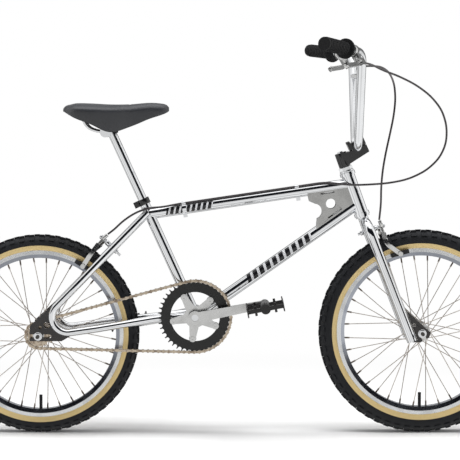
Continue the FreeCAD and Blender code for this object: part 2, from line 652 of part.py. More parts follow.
def build_handlebar():
    right, left = bar_corners(RIGHT), bar_corners(LEFT)
    points = [right[2], right[1], right[0], left[0], left[1], left[2]]
    bends = [S.bar_shoulder_bend, S.bar_foot_bend, S.bar_foot_bend, S.bar_shoulder_bend]
    outside = swept(points, S.bar_radius, bends)[0]
    inside = swept(points, S.bar_radius - S.tube_wall, bends)[0]
    share = float(S.crossbar_rise) / float(S.bar_rise)
    ends = [foot + (shoulder - foot) * share for foot, shoulder, _ in (right, left)]
    cross = cylinder(ends[0], ends[1], S.crossbar_radius).cut(outside)
    cross = min(cross.Solids, key=lambda solid: abs(solid.CenterOfMass.y))
    keep("handlebar", outside.cut(inside).fuse(cross).removeSplitter())


def build_grips():
    grips = []
    for side in (RIGHT, LEFT):
        _, shoulder, end = bar_corners(side)
        out = (end - shoulder).normalize()
        start = end - out * (float(S.grip_length) - 4)
        sleeve = cylinder(start, end + out * 4, S.grip_radius)
        flange = cylinder(start, start + out * float(S.grip_flange), S.grip_flange_radius)
        rings = [cylinder(end - out * along, end - out * (along - 3), S.grip_radius + 1)
                 for along in range(8, 104, 8)]
        bore = cylinder(start - out, end, S.bar_radius)
        grips.append(sleeve.multiFuse([flange] + rings).cut(bore))
    keep("grips", Part.makeCompound(grips))


# ---------------------------------------------------------------- brake levers

LEVER_DROP = Vector(0.575, 0, -0.818)


def lever_frame(side):
    """Bar centre at the lever, direction along the grip, and the way to the pivot."""
    _, shoulder, end = bar_corners(side)
    out = (end - shoulder).normalize()
    station = shoulder + out * ((float(S.lever_station) - float(S.bar_shoulder)) / abs(out.y))
    drop = (LEVER_DROP - out * LEVER_DROP.dot(out)).normalize()
    return station, out, drop


def lever_pivot(side):
    station, out, drop = lever_frame(side)
    return station + drop * 31 - out * 4, out.cross(drop).normalize()


def build_levers():
    perches = []
    for name, side in (("right", RIGHT), ("left", LEFT)):
        station, out, drop = lever_frame(side)
        pivot, pin_way = lever_pivot(side)
        band = cylinder(station - out * 9, station + out * 9, S.bar_radius + 3.5)
        arm = flat_bar([station + drop * 10 - out * 2, pivot], 15, 16, pin_way)
        nose = flat_bar([pivot - out * 2, pivot - out * 20], 11, 14, pin_way)
        room = cylinder(station - out * 20, station + out * 20, S.bar_radius)
        blade_room = flat_bar([pivot - out * 10 + drop * 3, pivot + drop * 2, pivot + out * 40], 30, 8, pin_way)
        barrel = cylinder(pivot - out * 20, pivot - out * 36, 3.6)
        perch = band.multiFuse([arm, nose]).cut([blade_room, room]).fuse(barrel)
        pin = cylinder(pivot - pin_way * 8, pivot + pin_way * 8, 2.5)
        perch = largest(perch).fuse(pin).removeSplitter()
        tip = pivot + out * 92 + drop * 22
        bend = pivot + out * 22 + drop * 10
        blade = flat_bar([pivot, bend, tip], 11, 6, pin_way)
        ball = cylinder(tip - pin_way * 5, tip + pin_way * 5, 6.5)
        eye = cylinder(pivot - pin_way * 10, pivot + pin_way * 10, 2.5 + float(S.running_gap))
        keep(f"lever_{name}", largest(blade.fuse(ball).cut(eye)))
        perches.append(largest(perch))
    keep("lever_perches", Part.makeCompound(perches))


# ---------------------------------------------------------------- wheels

def build_tyre(name, centre, outer_radius, section):
    """Hollow tyre, open towards the rim, with tread blocks and the valve of its inner tube."""
    crown = float(outer_radius) - float(S.tread_height)
    ring = crown - float(section)
    origin = Vector()
    carcass = Part.makeTorus(ring, float(section), origin, ALONG_Y)
    carcass = carcass.cut(Part.makeTorus(ring, float(section) - float(S.tyre_wall), origin, ALONG_Y))
    carcass = carcass.cut(cylinder(ALONG_Y * -60, ALONG_Y * 60, S.rim_radius + 0.2))
    blocks = []
    pitch = 360.0 / float(S.tread_blocks)
    lean_in, lean_out = math.radians(36), math.radians(58)
    top = float(section) + float(S.tread_height) * 0.8
    low = float(section) - 1.5
    middle_block = [(1.2, crown - 2.5), (9.5, crown - 4.5), (9.5, float(outer_radius)), (1.2, float(outer_radius))]
    side_block = [(low * math.sin(lean_in), ring + low * math.cos(lean_in)),
                  (low * math.sin(lean_out), ring + low * math.cos(lean_out)),
                  (top * math.sin(lean_out), ring + top * math.cos(lean_out)),
                  (top * math.sin(lean_in), ring + top * math.cos(lean_in))]
    for place in range(int(S.tread_blocks)):
        for side in (RIGHT, LEFT):
            stagger = pitch / 2 if side == LEFT else 0
            blocks.append(turned_block(middle_block, side, place * pitch + stagger, pitch * 0.5))
            blocks.append(turned_block(side_block, side, place * pitch, pitch * 0.55))
    tyre = carcass.multiFuse(blocks)
    valve_top = Vector(0, 0, -float(S.rim_radius) + float(S.rim_depth) + 0.5)
    valve = cylinder(valve_top, valve_top + Vector(0, 0, float(S.valve_length)), S.valve_radius)
    both = Part.makeCompound([tyre, valve])
    both.translate(centre)
    keep(name, both)


def turned_block(outline, side, start_angle, span):
    corners = [Vector(radius, side * out, 0) for out, radius in outline]
    block = Part.Face(Part.makePolygon(corners + corners[:1])).revolve(Vector(), ALONG_Y, span)
    block.rotate(Vector(), ALONG_Y, start_angle)
    return block


def build_rim(name, centre):
    half, top, flange = S.rim_width / 2, S.rim_radius, S.rim_flange
    floor, well = S.rim_radius - S.rim_well, S.rim_radius - S.rim_well - 3
    base = S.rim_radius - S.rim_depth
    right_side = [(top, -half), (top, -half + flange), (floor, -half + flange), (well, -half + 5)]
    left_side = [(well, half - 5), (floor, half - flange), (top, half - flange), (top, half)]
    foot = [(top - 9, half), (base, half - 4), (base, 4 - half), (top - 9, -half)]
    keep(name, turned_body(name, centre, right_side + left_side + foot))


def build_spokes(name, centre, right_flange, left_flange):
    """Thirty-six crossed spokes with their nipples, ending on the hub's flanges and in the rim."""
    per_side = int(S.spokes_per_side)
    step = 360.0 / per_side
    spokes = []
    rim_end = float(S.rim_radius) - float(S.rim_depth)
    lift = float(S.hub_flange_thick) / 2 + float(S.spoke_radius)
    for side, flange in ((RIGHT, float(right_flange)), (LEFT, float(left_flange))):
        for place in range(per_side):
            rim_angle = math.radians(place * step + (step / 2 if side == LEFT else 0) + step / 4)
            pull = 1 if place % 2 else -1
            hub_angle = rim_angle + pull * math.radians(62)
            start = Vector(math.cos(hub_angle), 0, math.sin(hub_angle)) * float(S.hub_hole_circle)
            start.y = side * (flange + pull * lift)
            end = Vector(math.cos(rim_angle), 0, math.sin(rim_angle)) * rim_end
            end.y = side * 4.0
            back = (start - end).normalize()
            nipple = cylinder(end, end + back * 13, S.nipple_radius)
            spoke = cylinder(start, end, S.spoke_radius).fuse(nipple).removeSplitter()
            spokes.append(spoke)
    group = Part.makeCompound(spokes)
    group.translate(centre)
    keep(name, group)


def build_hub(name, centre, right_flange, left_flange, width, thread_end=None):
    """Turned hub: two flanges on a barrel, bored to run on the axle."""
    bore = S.axle_radius + S.running_gap
    half, thick = width / 2 - 5, S.hub_flange_thick / 2
    flange, barrel, nose = S.hub_flange_radius, S.hub_barrel_radius, S.hub_barrel_radius + 1
    right_end = half if thread_end is None else thread_end
    outline = [(bore, -right_end), (nose, -right_end), (nose, -right_flange - thick), (flange, -right_flange - thick),
               (flange, -right_flange + thick), (barrel, -right_flange + thick), (barrel, left_flange - thick),
               (flange, left_flange - thick), (flange, left_flange + thick), (nose, left_flange + thick),
               (nose, half), (bore, half)]
    keep(name, turned_body(name, centre, outline))


def build_axle(name, centre, width, plate):
    """Threaded axle with a cone, washer and hexagon nut at each end, clamped in the dropouts."""
    half = float(width) / 2
    end = half + float(plate) + float(S.axle_washer) + float(S.axle_end)
    clamped = end - float(S.axle_end) + float(S.axle_nut_width)
    shaft = cylinder(centre - ALONG_Y * clamped, centre + ALONG_Y * clamped, S.axle_radius)
    tips = cylinder(centre - ALONG_Y * end, centre + ALONG_Y * end, S.axle_tip_radius)
    pieces = [shaft.fuse(tips).removeSplitter()]
    for side in (RIGHT, LEFT):
        face = centre + ALONG_Y * (side * (half + float(plate)))
        cone = pipe_shape(centre + ALONG_Y * (side * (half - 4.5)), centre + ALONG_Y * (side * half), 8,
                          8 - float(S.axle_radius))
        washer_end = face + ALONG_Y * (side * float(S.axle_washer))
        washer = pipe_shape(face, washer_end, S.axle_washer_radius, S.axle_washer_radius - S.axle_radius)
        corners = [Vector(math.cos(math.radians(60 * k)), math.sin(math.radians(60 * k)), 0)
                   * (float(S.axle_nut_radius) * 1.12) for k in range(7)]
        nut = Part.Face(Part.makePolygon(corners)).extrude(Vector(0, 0, float(S.axle_nut_width)))
        nut.Placement = turned_to(ALONG_Y * side, washer_end)
        nut = nut.cut(cylinder(centre - ALONG_Y * 120, centre + ALONG_Y * 120, S.axle_radius))
        pieces += [cone, washer, nut]
    keep(name, Part.makeCompound(pieces))


# ---------------------------------------------------------------- drive: chainring, cog, chain, cranks

def pitch_radius(teeth):
    return float(S.chain_pitch) / 2 / math.sin(math.pi / float(teeth))


def toothed_disc(teeth, middle, first_gap, play):
    """Disc with a round gap for each chain roller; the first gap is at a given angle."""
    ring = pitch_radius(teeth)
    thick = float(S.sprocket_thick)
    tip = ring + float(S.roller_radius) * 0.82
    start = Vector(middle.x, -float(S.chain_line) - thick / 2, middle.z)
    disc = Part.makeCylinder(tip, thick, start, ALONG_Y)
    gap_radius = float(S.roller_radius) + float(play)
    gaps = []
    for place in range(int(teeth)):
        angle = math.radians(first_gap + 360.0 / float(teeth) * place)
        out = Vector(math.cos(angle), 0, math.sin(angle))
        spot = start + out * ring
        across = out.cross(ALONG_Y) * gap_radius
        mouth = [spot + across, spot + across * 1.5 + out * 12, spot - across * 1.5 + out * 12, spot - across]
        gaps.append(Part.makeCylinder(gap_radius, thick, spot, ALONG_Y))
        gaps.append(Part.Face(Part.makePolygon(mouth + mouth[:1])).extrude(ALONG_Y * thick))
    return disc.cut(gaps)


def chain_route():
    """The chain's centre line: (length, function of distance giving the point and heading)."""
    big, small = pitch_radius(S.ring_teeth), pitch_radius(S.cog_teeth)
    gap = bracket - rear_axle
    apart = gap.Length
    slope = math.atan2(gap.z, gap.x)
    lean = math.asin((big - small) / apart)
    run = apart * math.cos(lean)
    wrap_big, wrap_small = big * (math.pi + 2 * lean), small * (math.pi - 2 * lean)
    total = 2 * run + wrap_big + wrap_small

    def at(distance):
        distance = distance % total
        if distance < wrap_big:
            angle = slope + math.pi / 2 + lean - distance / big
            return bracket + Vector(math.cos(angle), 0, math.sin(angle)) * big
        distance -= wrap_big
        low_angle = slope - math.pi / 2 - lean
        if distance < run:
            start = bracket + Vector(math.cos(low_angle), 0, math.sin(low_angle)) * big
            return start + Vector(math.sin(low_angle), 0, -math.cos(low_angle)) * distance
        distance -= run
        if distance < wrap_small:
            angle = low_angle - distance / small
            return rear_axle + Vector(math.cos(angle), 0, math.sin(angle)) * small
        distance -= wrap_small
        high_angle = slope + math.pi / 2 + lean
        start = rear_axle + Vector(math.cos(high_angle), 0, math.sin(high_angle)) * small
        return start + Vector(math.sin(high_angle), 0, -math.cos(high_angle)) * distance

    return total, wrap_big, run, wrap_small, at


def link_plate(length, radius, thick, out):
    """One side plate with round ends, lying along X from a pin at the origin."""
    ends = [Part.makeCylinder(radius, thick, Vector(x, out, 0), ALONG_Y) for x in (0.0, length)]
    waist = Part.makeBox(length, thick, radius * 1.35, Vector(0, out, -radius * 0.675))
    return ends[0].multiFuse([ends[1], waist]).removeSplitter()


def chain_links():
    total, wrap_big, run, wrap_small, at = chain_route()
    count = 2 * round(total / float(S.chain_pitch) / 2)
    pitch = total / count
    thick, radius = float(S.plate_thick), float(S.plate_radius)
    inside = float(S.sprocket_thick) / 2 + 0.45
    pin = 1.8
    inner_parts = [link_plate(pitch, radius, thick, inside), link_plate(pitch, radius, thick, -inside - thick)]
    outer_face = inside + thick + 0.05
    outer_parts = [link_plate(pitch, radius, thick, out) for out in (outer_face, -outer_face - thick)]
    for x in (0.0, pitch):
        inner_parts.append(Part.makeCylinder(float(S.roller_radius), inside * 2, Vector(x, -inside, 0), ALONG_Y))
        long = outer_face + thick + 0.4
        outer_parts.append(Part.makeCylinder(pin, long * 2, Vector(x, -long, 0), ALONG_Y))
    pin_holes = [Part.makeCylinder(pin + 0.05, 20, Vector(x, -10, 0), ALONG_Y) for x in (0.0, pitch)]
    inner = inner_parts[0].multiFuse(inner_parts[1:]).cut(pin_holes).removeSplitter()
    outer = outer_parts[0].multiFuse(outer_parts[1:]).removeSplitter()
    # The chain is laid so that a roller sits in the middle of the chainring's wrap.
    offset = wrap_big / 2 - pitch * round(wrap_big / 2 / pitch)
    pins = [at(offset + pitch * place) for place in range(count)]
    links = []
    for place, start in enumerate(pins):
        end = pins[(place + 1) % count]
        link = (inner if place % 2 else outer).copy()
        heading = FreeCAD.Rotation(Vector(1, 0, 0), end - start)
        link.Placement = FreeCAD.Placement(start - ALONG_Y * float(S.chain_line), heading)
        links.append(link)
    return links, pins, count


def nearest_angle(pins, centre, teeth):
    """Angle of the pin that sits deepest on a sprocket, so the teeth mesh with the chain."""
    ring = pitch_radius(teeth)
    seated = [pin - centre for pin in pins if abs((pin - centre).Length - ring) < 0.02]
    middle = seated[len(seated) // 2]
    return math.degrees(math.atan2(middle.z, middle.x))


def build_drive():
    links, pins, count = chain_links()
    print("chain links", count)
    keep("chain", Part.makeCompound(links))
    ring = toothed_disc(S.ring_teeth, bracket, nearest_angle(pins, bracket, S.ring_teeth), S.ring_roller_play)
    centre = Vector(bracket.x, 0, bracket.z)
    thin = float(S.sprocket_thick)
    opening = Part.makeCylinder(float(S.ring_inner_radius), 40, centre - ALONG_Y * 60, ALONG_Y)
    ring = ring.cut(opening)
    tabs, holes = [], []
    for spot in spider_spots():
        low = spot - ALONG_Y * (float(S.chain_line) + thin / 2)
        tabs.append(Part.makeCylinder(9, thin, low, ALONG_Y))
        holes.append(Part.makeCylinder(4.05, 60, spot - ALONG_Y * 80, ALONG_Y))
    keep("chainring", ring.multiFuse(tabs).removeSplitter().cut(holes))
    cog = toothed_disc(S.cog_teeth, rear_axle, nearest_angle(pins, rear_axle, S.cog_teeth), S.cog_roller_play)
    body = Part.makeCylinder(24, 13, rear_axle - ALONG_Y * 48, ALONG_Y)
    bore_radius = float(S.hub_barrel_radius) + 1 + float(S.running_gap)
    bore = Part.makeCylinder(bore_radius, 60, rear_axle - ALONG_Y * 80, ALONG_Y)
    keep("freewheel_cog", cog.fuse(body).cut(bore).removeSplitter())


crank_turn = math.radians(S.crank_angle)
CRANK_OUT = Vector(math.cos(crank_turn), 0, math.sin(crank_turn))


def spider_spots():
    first = 47.5
    step = 360.0 / float(S.spider_arms)
    spots = []
    for place in range(int(S.spider_arms)):
        angle = math.radians(first + step * place)
        spots.append(bracket + Vector(math.cos(angle), 0, math.sin(angle)) * float(S.ring_bolt_circle))
    return spots


def tapered_arm(inner_y, thick, near_radius, far_radius, way):
    """A forged arm from the bottom bracket to the pedal, wider at the bracket."""
    far = bracket + way * float(S.crank_length)
    normal = Vector(-way.z, 0, way.x)
    corners = [bracket + normal * near_radius, far + normal * far_radius,
               far - normal * far_radius, bracket - normal * near_radius]
    low = inner_y - thick
    slab = Part.Face(Part.makePolygon(corners + corners[:1])).extrude(ALONG_Y * thick)
    boss = Part.makeCylinder(near_radius + 4, thick, bracket, ALONG_Y)
    eye = Part.makeCylinder(far_radius + 2.5, thick, far, ALONG_Y)
    arm = slab.multiFuse([boss, eye]).removeSplitter()
    arm.translate(ALONG_Y * low)
    return arm


def build_cranks():
    """Right arm with its five-arm spider and the chainring bolts, left arm, spindle, pedal spindles."""
    inner = -float(S.crank_inner_face)
    ring_face = -float(S.chain_line) - float(S.sprocket_thick) / 2
    thick, spider = float(S.crank_thick), float(S.spider_thick)
    right = tapered_arm(inner, thick, 13.0, 9.5, CRANK_OUT)
    hub = Part.makeCylinder(17, ring_face - inner + 1, bracket + ALONG_Y * (inner - 1), ALONG_Y)
    arms, bolts, holes = [], [], []
    for spot in spider_spots():
        out = (spot - bracket).normalize()
        across = out.cross(ALONG_Y)
        corners = [bracket + across * 15, spot + across * 7.5, spot - across * 7.5, bracket - across * 15]
        blade = Part.Face(Part.makePolygon(corners + corners[:1])).extrude(ALONG_Y * spider)
        blade = blade.fuse(Part.makeCylinder(8.5, spider, spot, ALONG_Y))
        blade.translate(ALONG_Y * (ring_face - spider))
        arms.append(blade)
        holes.append(Part.makeCylinder(4.05, 60, spot - ALONG_Y * 80, ALONG_Y))
        shank = Part.makeCylinder(4, spider + 5.2, spot + ALONG_Y * (ring_face - spider - 2), ALONG_Y)
        head = Part.makeCylinder(6.3, 2, spot + ALONG_Y * (ring_face - spider - 2), ALONG_Y)
        socket = Part.makeCylinder(2.5, 2, spot + ALONG_Y * (ring_face - spider - 2), ALONG_Y)
        bolts.append(shank.fuse(head).cut(socket).removeSplitter())
    dish = Part.makeCylinder(27, spider, bracket + ALONG_Y * (ring_face - spider), ALONG_Y)
    spindle_room = Part.makeCylinder(float(S.spindle_radius), 400, bracket - ALONG_Y * 200, ALONG_Y)
    eye_room = Part.makeCylinder(7, 400, bracket + CRANK_OUT * float(S.crank_length) - ALONG_Y * 200, ALONG_Y)
    right = right.multiFuse([hub, dish] + arms).cut(holes + [spindle_room, eye_room])
    keep("crank_arm_right", Part.makeCompound([largest(right.removeSplitter())] + bolts))
    left = tapered_arm(-inner + thick, thick, 13.0, 9.5, -CRANK_OUT)
    stub = Part.makeCylinder(15, 17, bracket + ALONG_Y * (-inner - 16), ALONG_Y)
    left_eye = Part.makeCylinder(7, 400, bracket - CRANK_OUT * float(S.crank_length) - ALONG_Y * 200, ALONG_Y)
    keep("crank_arm_left", largest(left.fuse(stub).cut([spindle_room, left_eye]).removeSplitter()))
    long = float(S.crank_inner_face) + thick - 3
    spindle = Part.makeCylinder(float(S.spindle_radius), 2 * long, bracket - ALONG_Y * long, ALONG_Y)
    keep("bb_spindle", spindle)


def build_pedals():
    """Cage pedals with saw-toothed plates, each running on its own spindle."""
    spindles = []
    start, width = float(S.pedal_start), float(S.pedal_width)
    for name, side, way in (("right", RIGHT, 1), ("left", LEFT, -1)):
        middle = bracket + CRANK_OUT * (way * float(S.crank_length))
        arm_face = float(S.crank_inner_face)
        spindle = cylinder(middle + ALONG_Y * (side * arm_face), middle + ALONG_Y * (side * (arm_face + 15.5)), 7)
        flange = cylinder(middle + ALONG_Y * (side * (arm_face + 14.5)), middle + ALONG_Y * (side * (start - 1)), 8)
        stem = cylinder(middle + ALONG_Y * (side * start * 0.9), middle + ALONG_Y * (side * (start + width - 6)),
                        S.pedal_spindle)
        spindles.append(spindle.multiFuse([flange, stem]).removeSplitter())
        barrel = cylinder(middle + ALONG_Y * (side * start), middle + ALONG_Y * (side * (start + width)), 12)
        half, tall = float(S.pedal_length) / 2, float(S.pedal_height) / 2
        cross = [side_plate([(-half, -5), (half, -5), (half, 5), (-half, 5)], 7, side * (start + along))
                 for along in (8.0, width - 8.0)]
        cages = []
        for end in (-1, 1):
            plate = Part.makeBox(3, width, tall * 2 - 6, Vector(end * half - 1.5, 0, -tall + 3))
            plate.translate(ALONG_Y * (start if side == LEFT else -start - width))
            teeth = []
            for place in range(6):
                foot_y = (start + width * (place + 0.5) / 6) * side
                tooth = [Vector(end * half - 1.5, foot_y - 5, -tall + 3), Vector(end * half - 1.5, foot_y, -tall - 0.5),
                         Vector(end * half - 1.5, foot_y + 5, -tall + 3)]
                low = Part.Face(Part.makePolygon(tooth + tooth[:1])).extrude(Vector(3, 0, 0))
                high = low.mirror(Vector(), Vector(0, 0, 1))
                teeth += [low, high]
            cages.append(plate.multiFuse(teeth).removeSplitter())
        ends = []
        for x in (-half * 0.55, half * 0.55):
            for z in (-1, 1):
                stud = Part.makeCylinder(3, 7, Vector(x, 0, z * 5 - (7 if z < 0 else 0)), Vector(0, 0, 1))
                for along in (8.0, width - 8.0):
                    one = stud.copy()
                    one.translate(ALONG_Y * side * (start + along))
                    ends.append(one)
        frame = cross[0].multiFuse([cross[1]] + cages + ends)
        frame.rotate(Vector(), ALONG_Y, -float(S.crank_angle))
        frame.translate(middle)
        room = cylinder(middle + ALONG_Y * (side * (start - 5)), middle + ALONG_Y * (side * (start + width - 5)),
                        S.pedal_spindle + S.running_gap)
        keep(f"pedal_{name}", largest(frame.fuse(barrel).cut(room).removeSplitter()))
    keep("pedal_spindles", Part.makeCompound(spindles))


# ---------------------------------------------------------------- seat

saddle_clamp_middle = on_seat(S.saddle_clamp_rise + 4, -13)


def build_seat_post():
    foot = S.seat_tube_length - 95
    keep("seat_post", pipe_shape(on_seat(foot), on_seat(S.saddle_clamp_rise + 14), S.post_radius, 1.8))


# Stations of the saddle from tail to nose, as shares of its length: half width, top, low edge.
SADDLE_STATIONS = [
    (0.02, 30, 72, 60), (0.12, 66, 77, 45), (0.26, 74, 76.5, 32), (0.45, 60, 74, 11),
    (0.64, 37, 74.5, 24), (0.82, 27, 78, 43), (0.96, 20, 74.5, 55), (1.0, 8, 70, 61),
]
saddle_tail = saddle_clamp_middle + Vector(-102, 0, -9)


def saddle_loft(shrink, drop, low_lift=0.0):
    """Closed body through the stations, made smaller by a side skin and a top pad."""
    wires = []
    for share, half, top, low in SADDLE_STATIONS:
        half, top = half - shrink, top - drop
        low = low + low_lift
        x = saddle_tail.x + float(S.saddle_length) * share
        corners = [(0, top), (half * 0.62, top - 1.5), (half * 0.93, top - 7), (half, max(top - 14, low + 2)),
                   (half * 0.98, low)]
        ring = [Vector(x, y, saddle_tail.z + z) for y, z in corners]
        ring += [Vector(x, -y, saddle_tail.z + z) for y, z in reversed(corners[1:])]
        wires.append(Part.makePolygon(ring + ring[:1]))
    return Part.makeLoft(wires, True, True)


def inner_loft(shrink, drop):
    """The space under the saddle: open below, so it runs past the low edge."""
    wires = []
    for share, half, top, low in SADDLE_STATIONS[1:-1]:
        inner_half = max(half - shrink, 6)
        x = saddle_tail.x + float(S.saddle_length) * share
        ring = [(0, top - drop), (inner_half * 0.6, top - drop - 1), (inner_half, top - drop - 9),
                (inner_half, low - 30)]
        points = [Vector(x, y, saddle_tail.z + z) for y, z in ring]
        points += [Vector(x, -y, saddle_tail.z + z) for y, z in reversed(ring[1:])]
        wires.append(Part.makePolygon(points + points[:1]))
    return Part.makeLoft(wires, True, True)


def build_saddle():
    skin, pad = float(S.saddle_skin), float(S.saddle_pad)
    outside = saddle_loft(0, 0)
    room = inner_loft(skin, pad)
    keep("saddle_cover", largest(outside.cut(room)))
    shell = room.common(saddle_loft(1, 1, 4)).cut(inner_loft(skin + 2.5, pad + 2.5))
    keep("saddle_shell", largest(shell))
    rails = []
    low = saddle_clamp_middle
    for side in (RIGHT, LEFT):
        points = [low + Vector(-59, side * 30, 40), low + Vector(-44, side * 27, 10), low + Vector(-14, side * 22, 0),
                  low + Vector(26, side * 21, 5), low + Vector(95, side * 9, 41)]
        rail = swept(points, S.rail_radius)[0]
        rails.append(rail.cut([room_shell_cut(), outside.cut(room)]))
    rails = [largest(rail) for rail in rails]
    bar = cylinder(low - ALONG_Y * 30, low + ALONG_Y * 30, 13)
    washers = [cylinder(low + ALONG_Y * (side * 30), low + ALONG_Y * (side * 38), 9) for side in (RIGHT, LEFT)]
    collar = cylinder(on_seat(S.saddle_clamp_rise - 10), on_seat(S.saddle_clamp_rise + 16), S.post_radius + 4)
    clamp = bar.multiFuse(washers + [collar])
    post_room = cylinder(on_seat(S.saddle_clamp_rise - 60), on_seat(S.saddle_clamp_rise + 14), S.post_radius)
    clamp = largest(clamp.cut([post_room] + rails))
    keep("saddle_rails", Part.makeCompound(rails + [clamp]))


def room_shell_cut():
    skin, pad = float(S.saddle_skin), float(S.saddle_pad)
    return inner_loft(skin, pad).cut(inner_loft(skin + 2.5, pad + 2.5))


# ---------------------------------------------------------------- rim brakes

def stay_way():
    upper = math.radians(S.seat_stay_angle)
    return Vector(math.cos(upper), 0, math.sin(upper))


BRAKE_DOWN = {"rear": -stay_way(), "front": -HEAD_UP}
BRAKE_BACK = Vector(-stay_way().z, 0, stay_way().x)
BRAKE_OUT = {"rear": BRAKE_BACK, "front": HEAD_AHEAD}


def brake_root(end):
    return brake_bridge_point() if end == "rear" else on_head(-float(S.crown_bolt_drop))


def brake_frame(end):
    """Pivot of the calliper, the way its bolt points and the way down to the rim."""
    away = 30.0 if end == "rear" else 31.0
    out, down = BRAKE_OUT[end], BRAKE_DOWN[end]
    axle = rear_axle if end == "rear" else front_axle
    pivot = brake_root(end) + out * away
    return pivot, out, down, axle


def pad_middle(end, side):
    """Centre of a brake pad, beside the rim's braking face and clear of it by the pad gap."""
    pivot, out, down, axle = brake_frame(end)
    braking_radius = float(S.rim_radius) - 5.5
    lean = math.radians(14) if end == "front" else math.radians(-6)
    if end == "front":
        spot = (pivot - axle).normalize()
        angle = math.atan2(spot.z, spot.x) - lean * 0.45
    else:
        spot = (pivot - axle).normalize()
        angle = math.atan2(spot.z, spot.x) - lean * 0.3
    reach = float(S.rim_width) / 2 + float(S.pad_gap) + float(S.pad_thick) / 2
    return axle + Vector(math.cos(angle), 0, math.sin(angle)) * braking_radius + ALONG_Y * (side * reach)


def build_brake(end):
    pivot, out, down, axle = brake_frame(end)
    root = brake_root(end)
    lower = root - out * 26
    bolt = cylinder(lower, pivot + out * 14, S.brake_bolt_radius)
    tube_radius = 8.0 if end == "rear" else float(S.steerer_radius)
    boss = cylinder(root + out * (tube_radius + 0.3), pivot - out * 7.5, 6.5)
    acorn = cylinder(root - out * (tube_radius + 0.3), root - out * (tube_radius + 7), 5.5)
    nose = cylinder(pivot + out * 7.5, pivot + out * 12, 5.5)
    keep(f"{end}_brake_bolt", bolt.multiFuse([boss, acorn, nose]).removeSplitter())
    for name, side in (("right", RIGHT), ("left", LEFT)):
        layer = out * (3.4 if side == RIGHT else -3.4)
        pad = pad_middle(end, side)
        holder = pad + ALONG_Y * (side * (float(S.pad_thick) / 2 + 4))
        elbow_out = float(S.arm_spread)
        crown = pivot + layer
        shoulder = pivot + layer * 0.9 + down * 16 + ALONG_Y * (side * elbow_out * 0.72)
        knee = pivot + down * 42 + ALONG_Y * (side * (elbow_out + 3))
        foot = holder + ALONG_Y * (side * 2.5)
        arm = flat_bar([crown, shoulder], S.brake_arm_width, S.brake_arm_thick, out)
        lower_arm = flat_bar([shoulder, knee, foot], S.brake_arm_width, S.brake_arm_thick, ALONG_Y)
        post_end = pad + ALONG_Y * (side * float(S.pad_thick) / 2)
        post = cylinder(post_end, foot + ALONG_Y * (side * 8), 3.2)
        head = cylinder(foot + ALONG_Y * (side * 3), foot + ALONG_Y * (side * 8), 6)
        grow = [lower_arm, post, head]
        if side == RIGHT:
            horn = pivot + layer - down * 8 - ALONG_Y * 26
            grow.append(flat_bar([crown, horn], 8, S.brake_arm_thick, out))
            grow.append(cylinder(horn - down * -7, horn - down * 9, 4.6))
        eye = cylinder(pivot - out * 30, pivot + out * 30, S.brake_bolt_radius + S.running_gap)
        other = cylinder(pivot + layer * -1 - out * 3.3, pivot + layer * -1 + out * 3.3, 9)
        arm = arm.multiFuse(grow).cut([eye, other])
        keep(f"{end}_brake_arm_{name}", largest(arm.removeSplitter()))
        keep(f"{end}_brake_pad_{name}", pad_block(pad, axle, side))


def pad_block(middle, axle, side):
    """Rubber block whose long side follows the rim."""
    spot = Vector(middle.x - axle.x, 0, middle.z - axle.z).normalize()
    block = Part.makeBox(float(S.pad_length), float(S.pad_thick), float(S.pad_height),
                         Vector(-float(S.pad_length) / 2, -float(S.pad_thick) / 2, -float(S.pad_height) / 2))
    block.Placement = FreeCAD.Placement(middle, FreeCAD.Rotation(Vector(0, 0, 1), spot))
    return block


def brake_anchor(end):
    """Just above the adjuster on the brake's right-hand arm, where the cable's housing stops."""
    pivot, out, down, _ = brake_frame(end)
    return pivot + out * 3.4 - down * 19 - ALONG_Y * 26


# Corner points of each cable's housing between its two ends, chosen along its real route.
FRONT_CABLE = [(358, 112, 916), (378, 72, 913), (394, 35, 899), (404, 6, 871), (406, -8, 832), (401, -15, 790),
               (392, -20, 748), (382, -24, 704), (374, -27, 660), (370, -28, 616), (370, -28, 574)]
REAR_CABLE = [(364, -122, 902), (403, -98, 889), (448, -79, 868), (487, -66, 840), (515, -58, 806),
              (528, -54, 766), (527, -52, 724), (511, -50, 688), (480, -49, 658), (436, -47, 636),
              (388, -43, 626), (342, -33, 622), (296, -25, 620)]
TUBE_STATIONS = [446, 396, 342, 288, 234, 180, 126, 76]
REAR_CABLE_TAIL = [(-172, -18, 565), (-204, -24, 564), (-238, -26, 552), (-268, -26, 532), (-291, -26, 510)]


def report_cord(name, radii, length, volume):
    ideal = math.pi * float(S.cable_radius) ** 2 * length
    print(name, "length", round(length), "smallest radius", round(min(radii), 1), "volume share",
          round(volume / ideal, 4))


def lever_cable_ends(side):
    """Where the housing leaves the lever's barrel, and a point straight ahead of it."""
    pivot, _ = lever_pivot(side)
    _, out, _ = lever_frame(side)
    return [pivot - out * 37, pivot - out * 74]


def build_cables():
    points = lever_cable_ends(LEFT) + [Vector(*p) for p in FRONT_CABLE] + [brake_anchor("front")]
    cable, radii, length = swept(points, S.cable_radius)
    report_cord("front_brake_cable", radii, length, cable.Volume)
    keep("front_brake_cable", cable)
    points = lever_cable_ends(RIGHT) + [Vector(*p) for p in REAR_CABLE]
    for place, along in enumerate(TUBE_STATIONS):
        points.append(on_top_tube(along, CABLE_LIFT + 0.15 * (place % 2)))
    points += [Vector(*p) for p in REAR_CABLE_TAIL] + [brake_anchor("rear")]
    cable, radii, length = swept(points, S.cable_radius)
    report_cord("rear_brake_cable", radii, length, cable.Volume)
    keep("rear_brake_cable", cable)


# ---------------------------------------------------------------- assembly and export

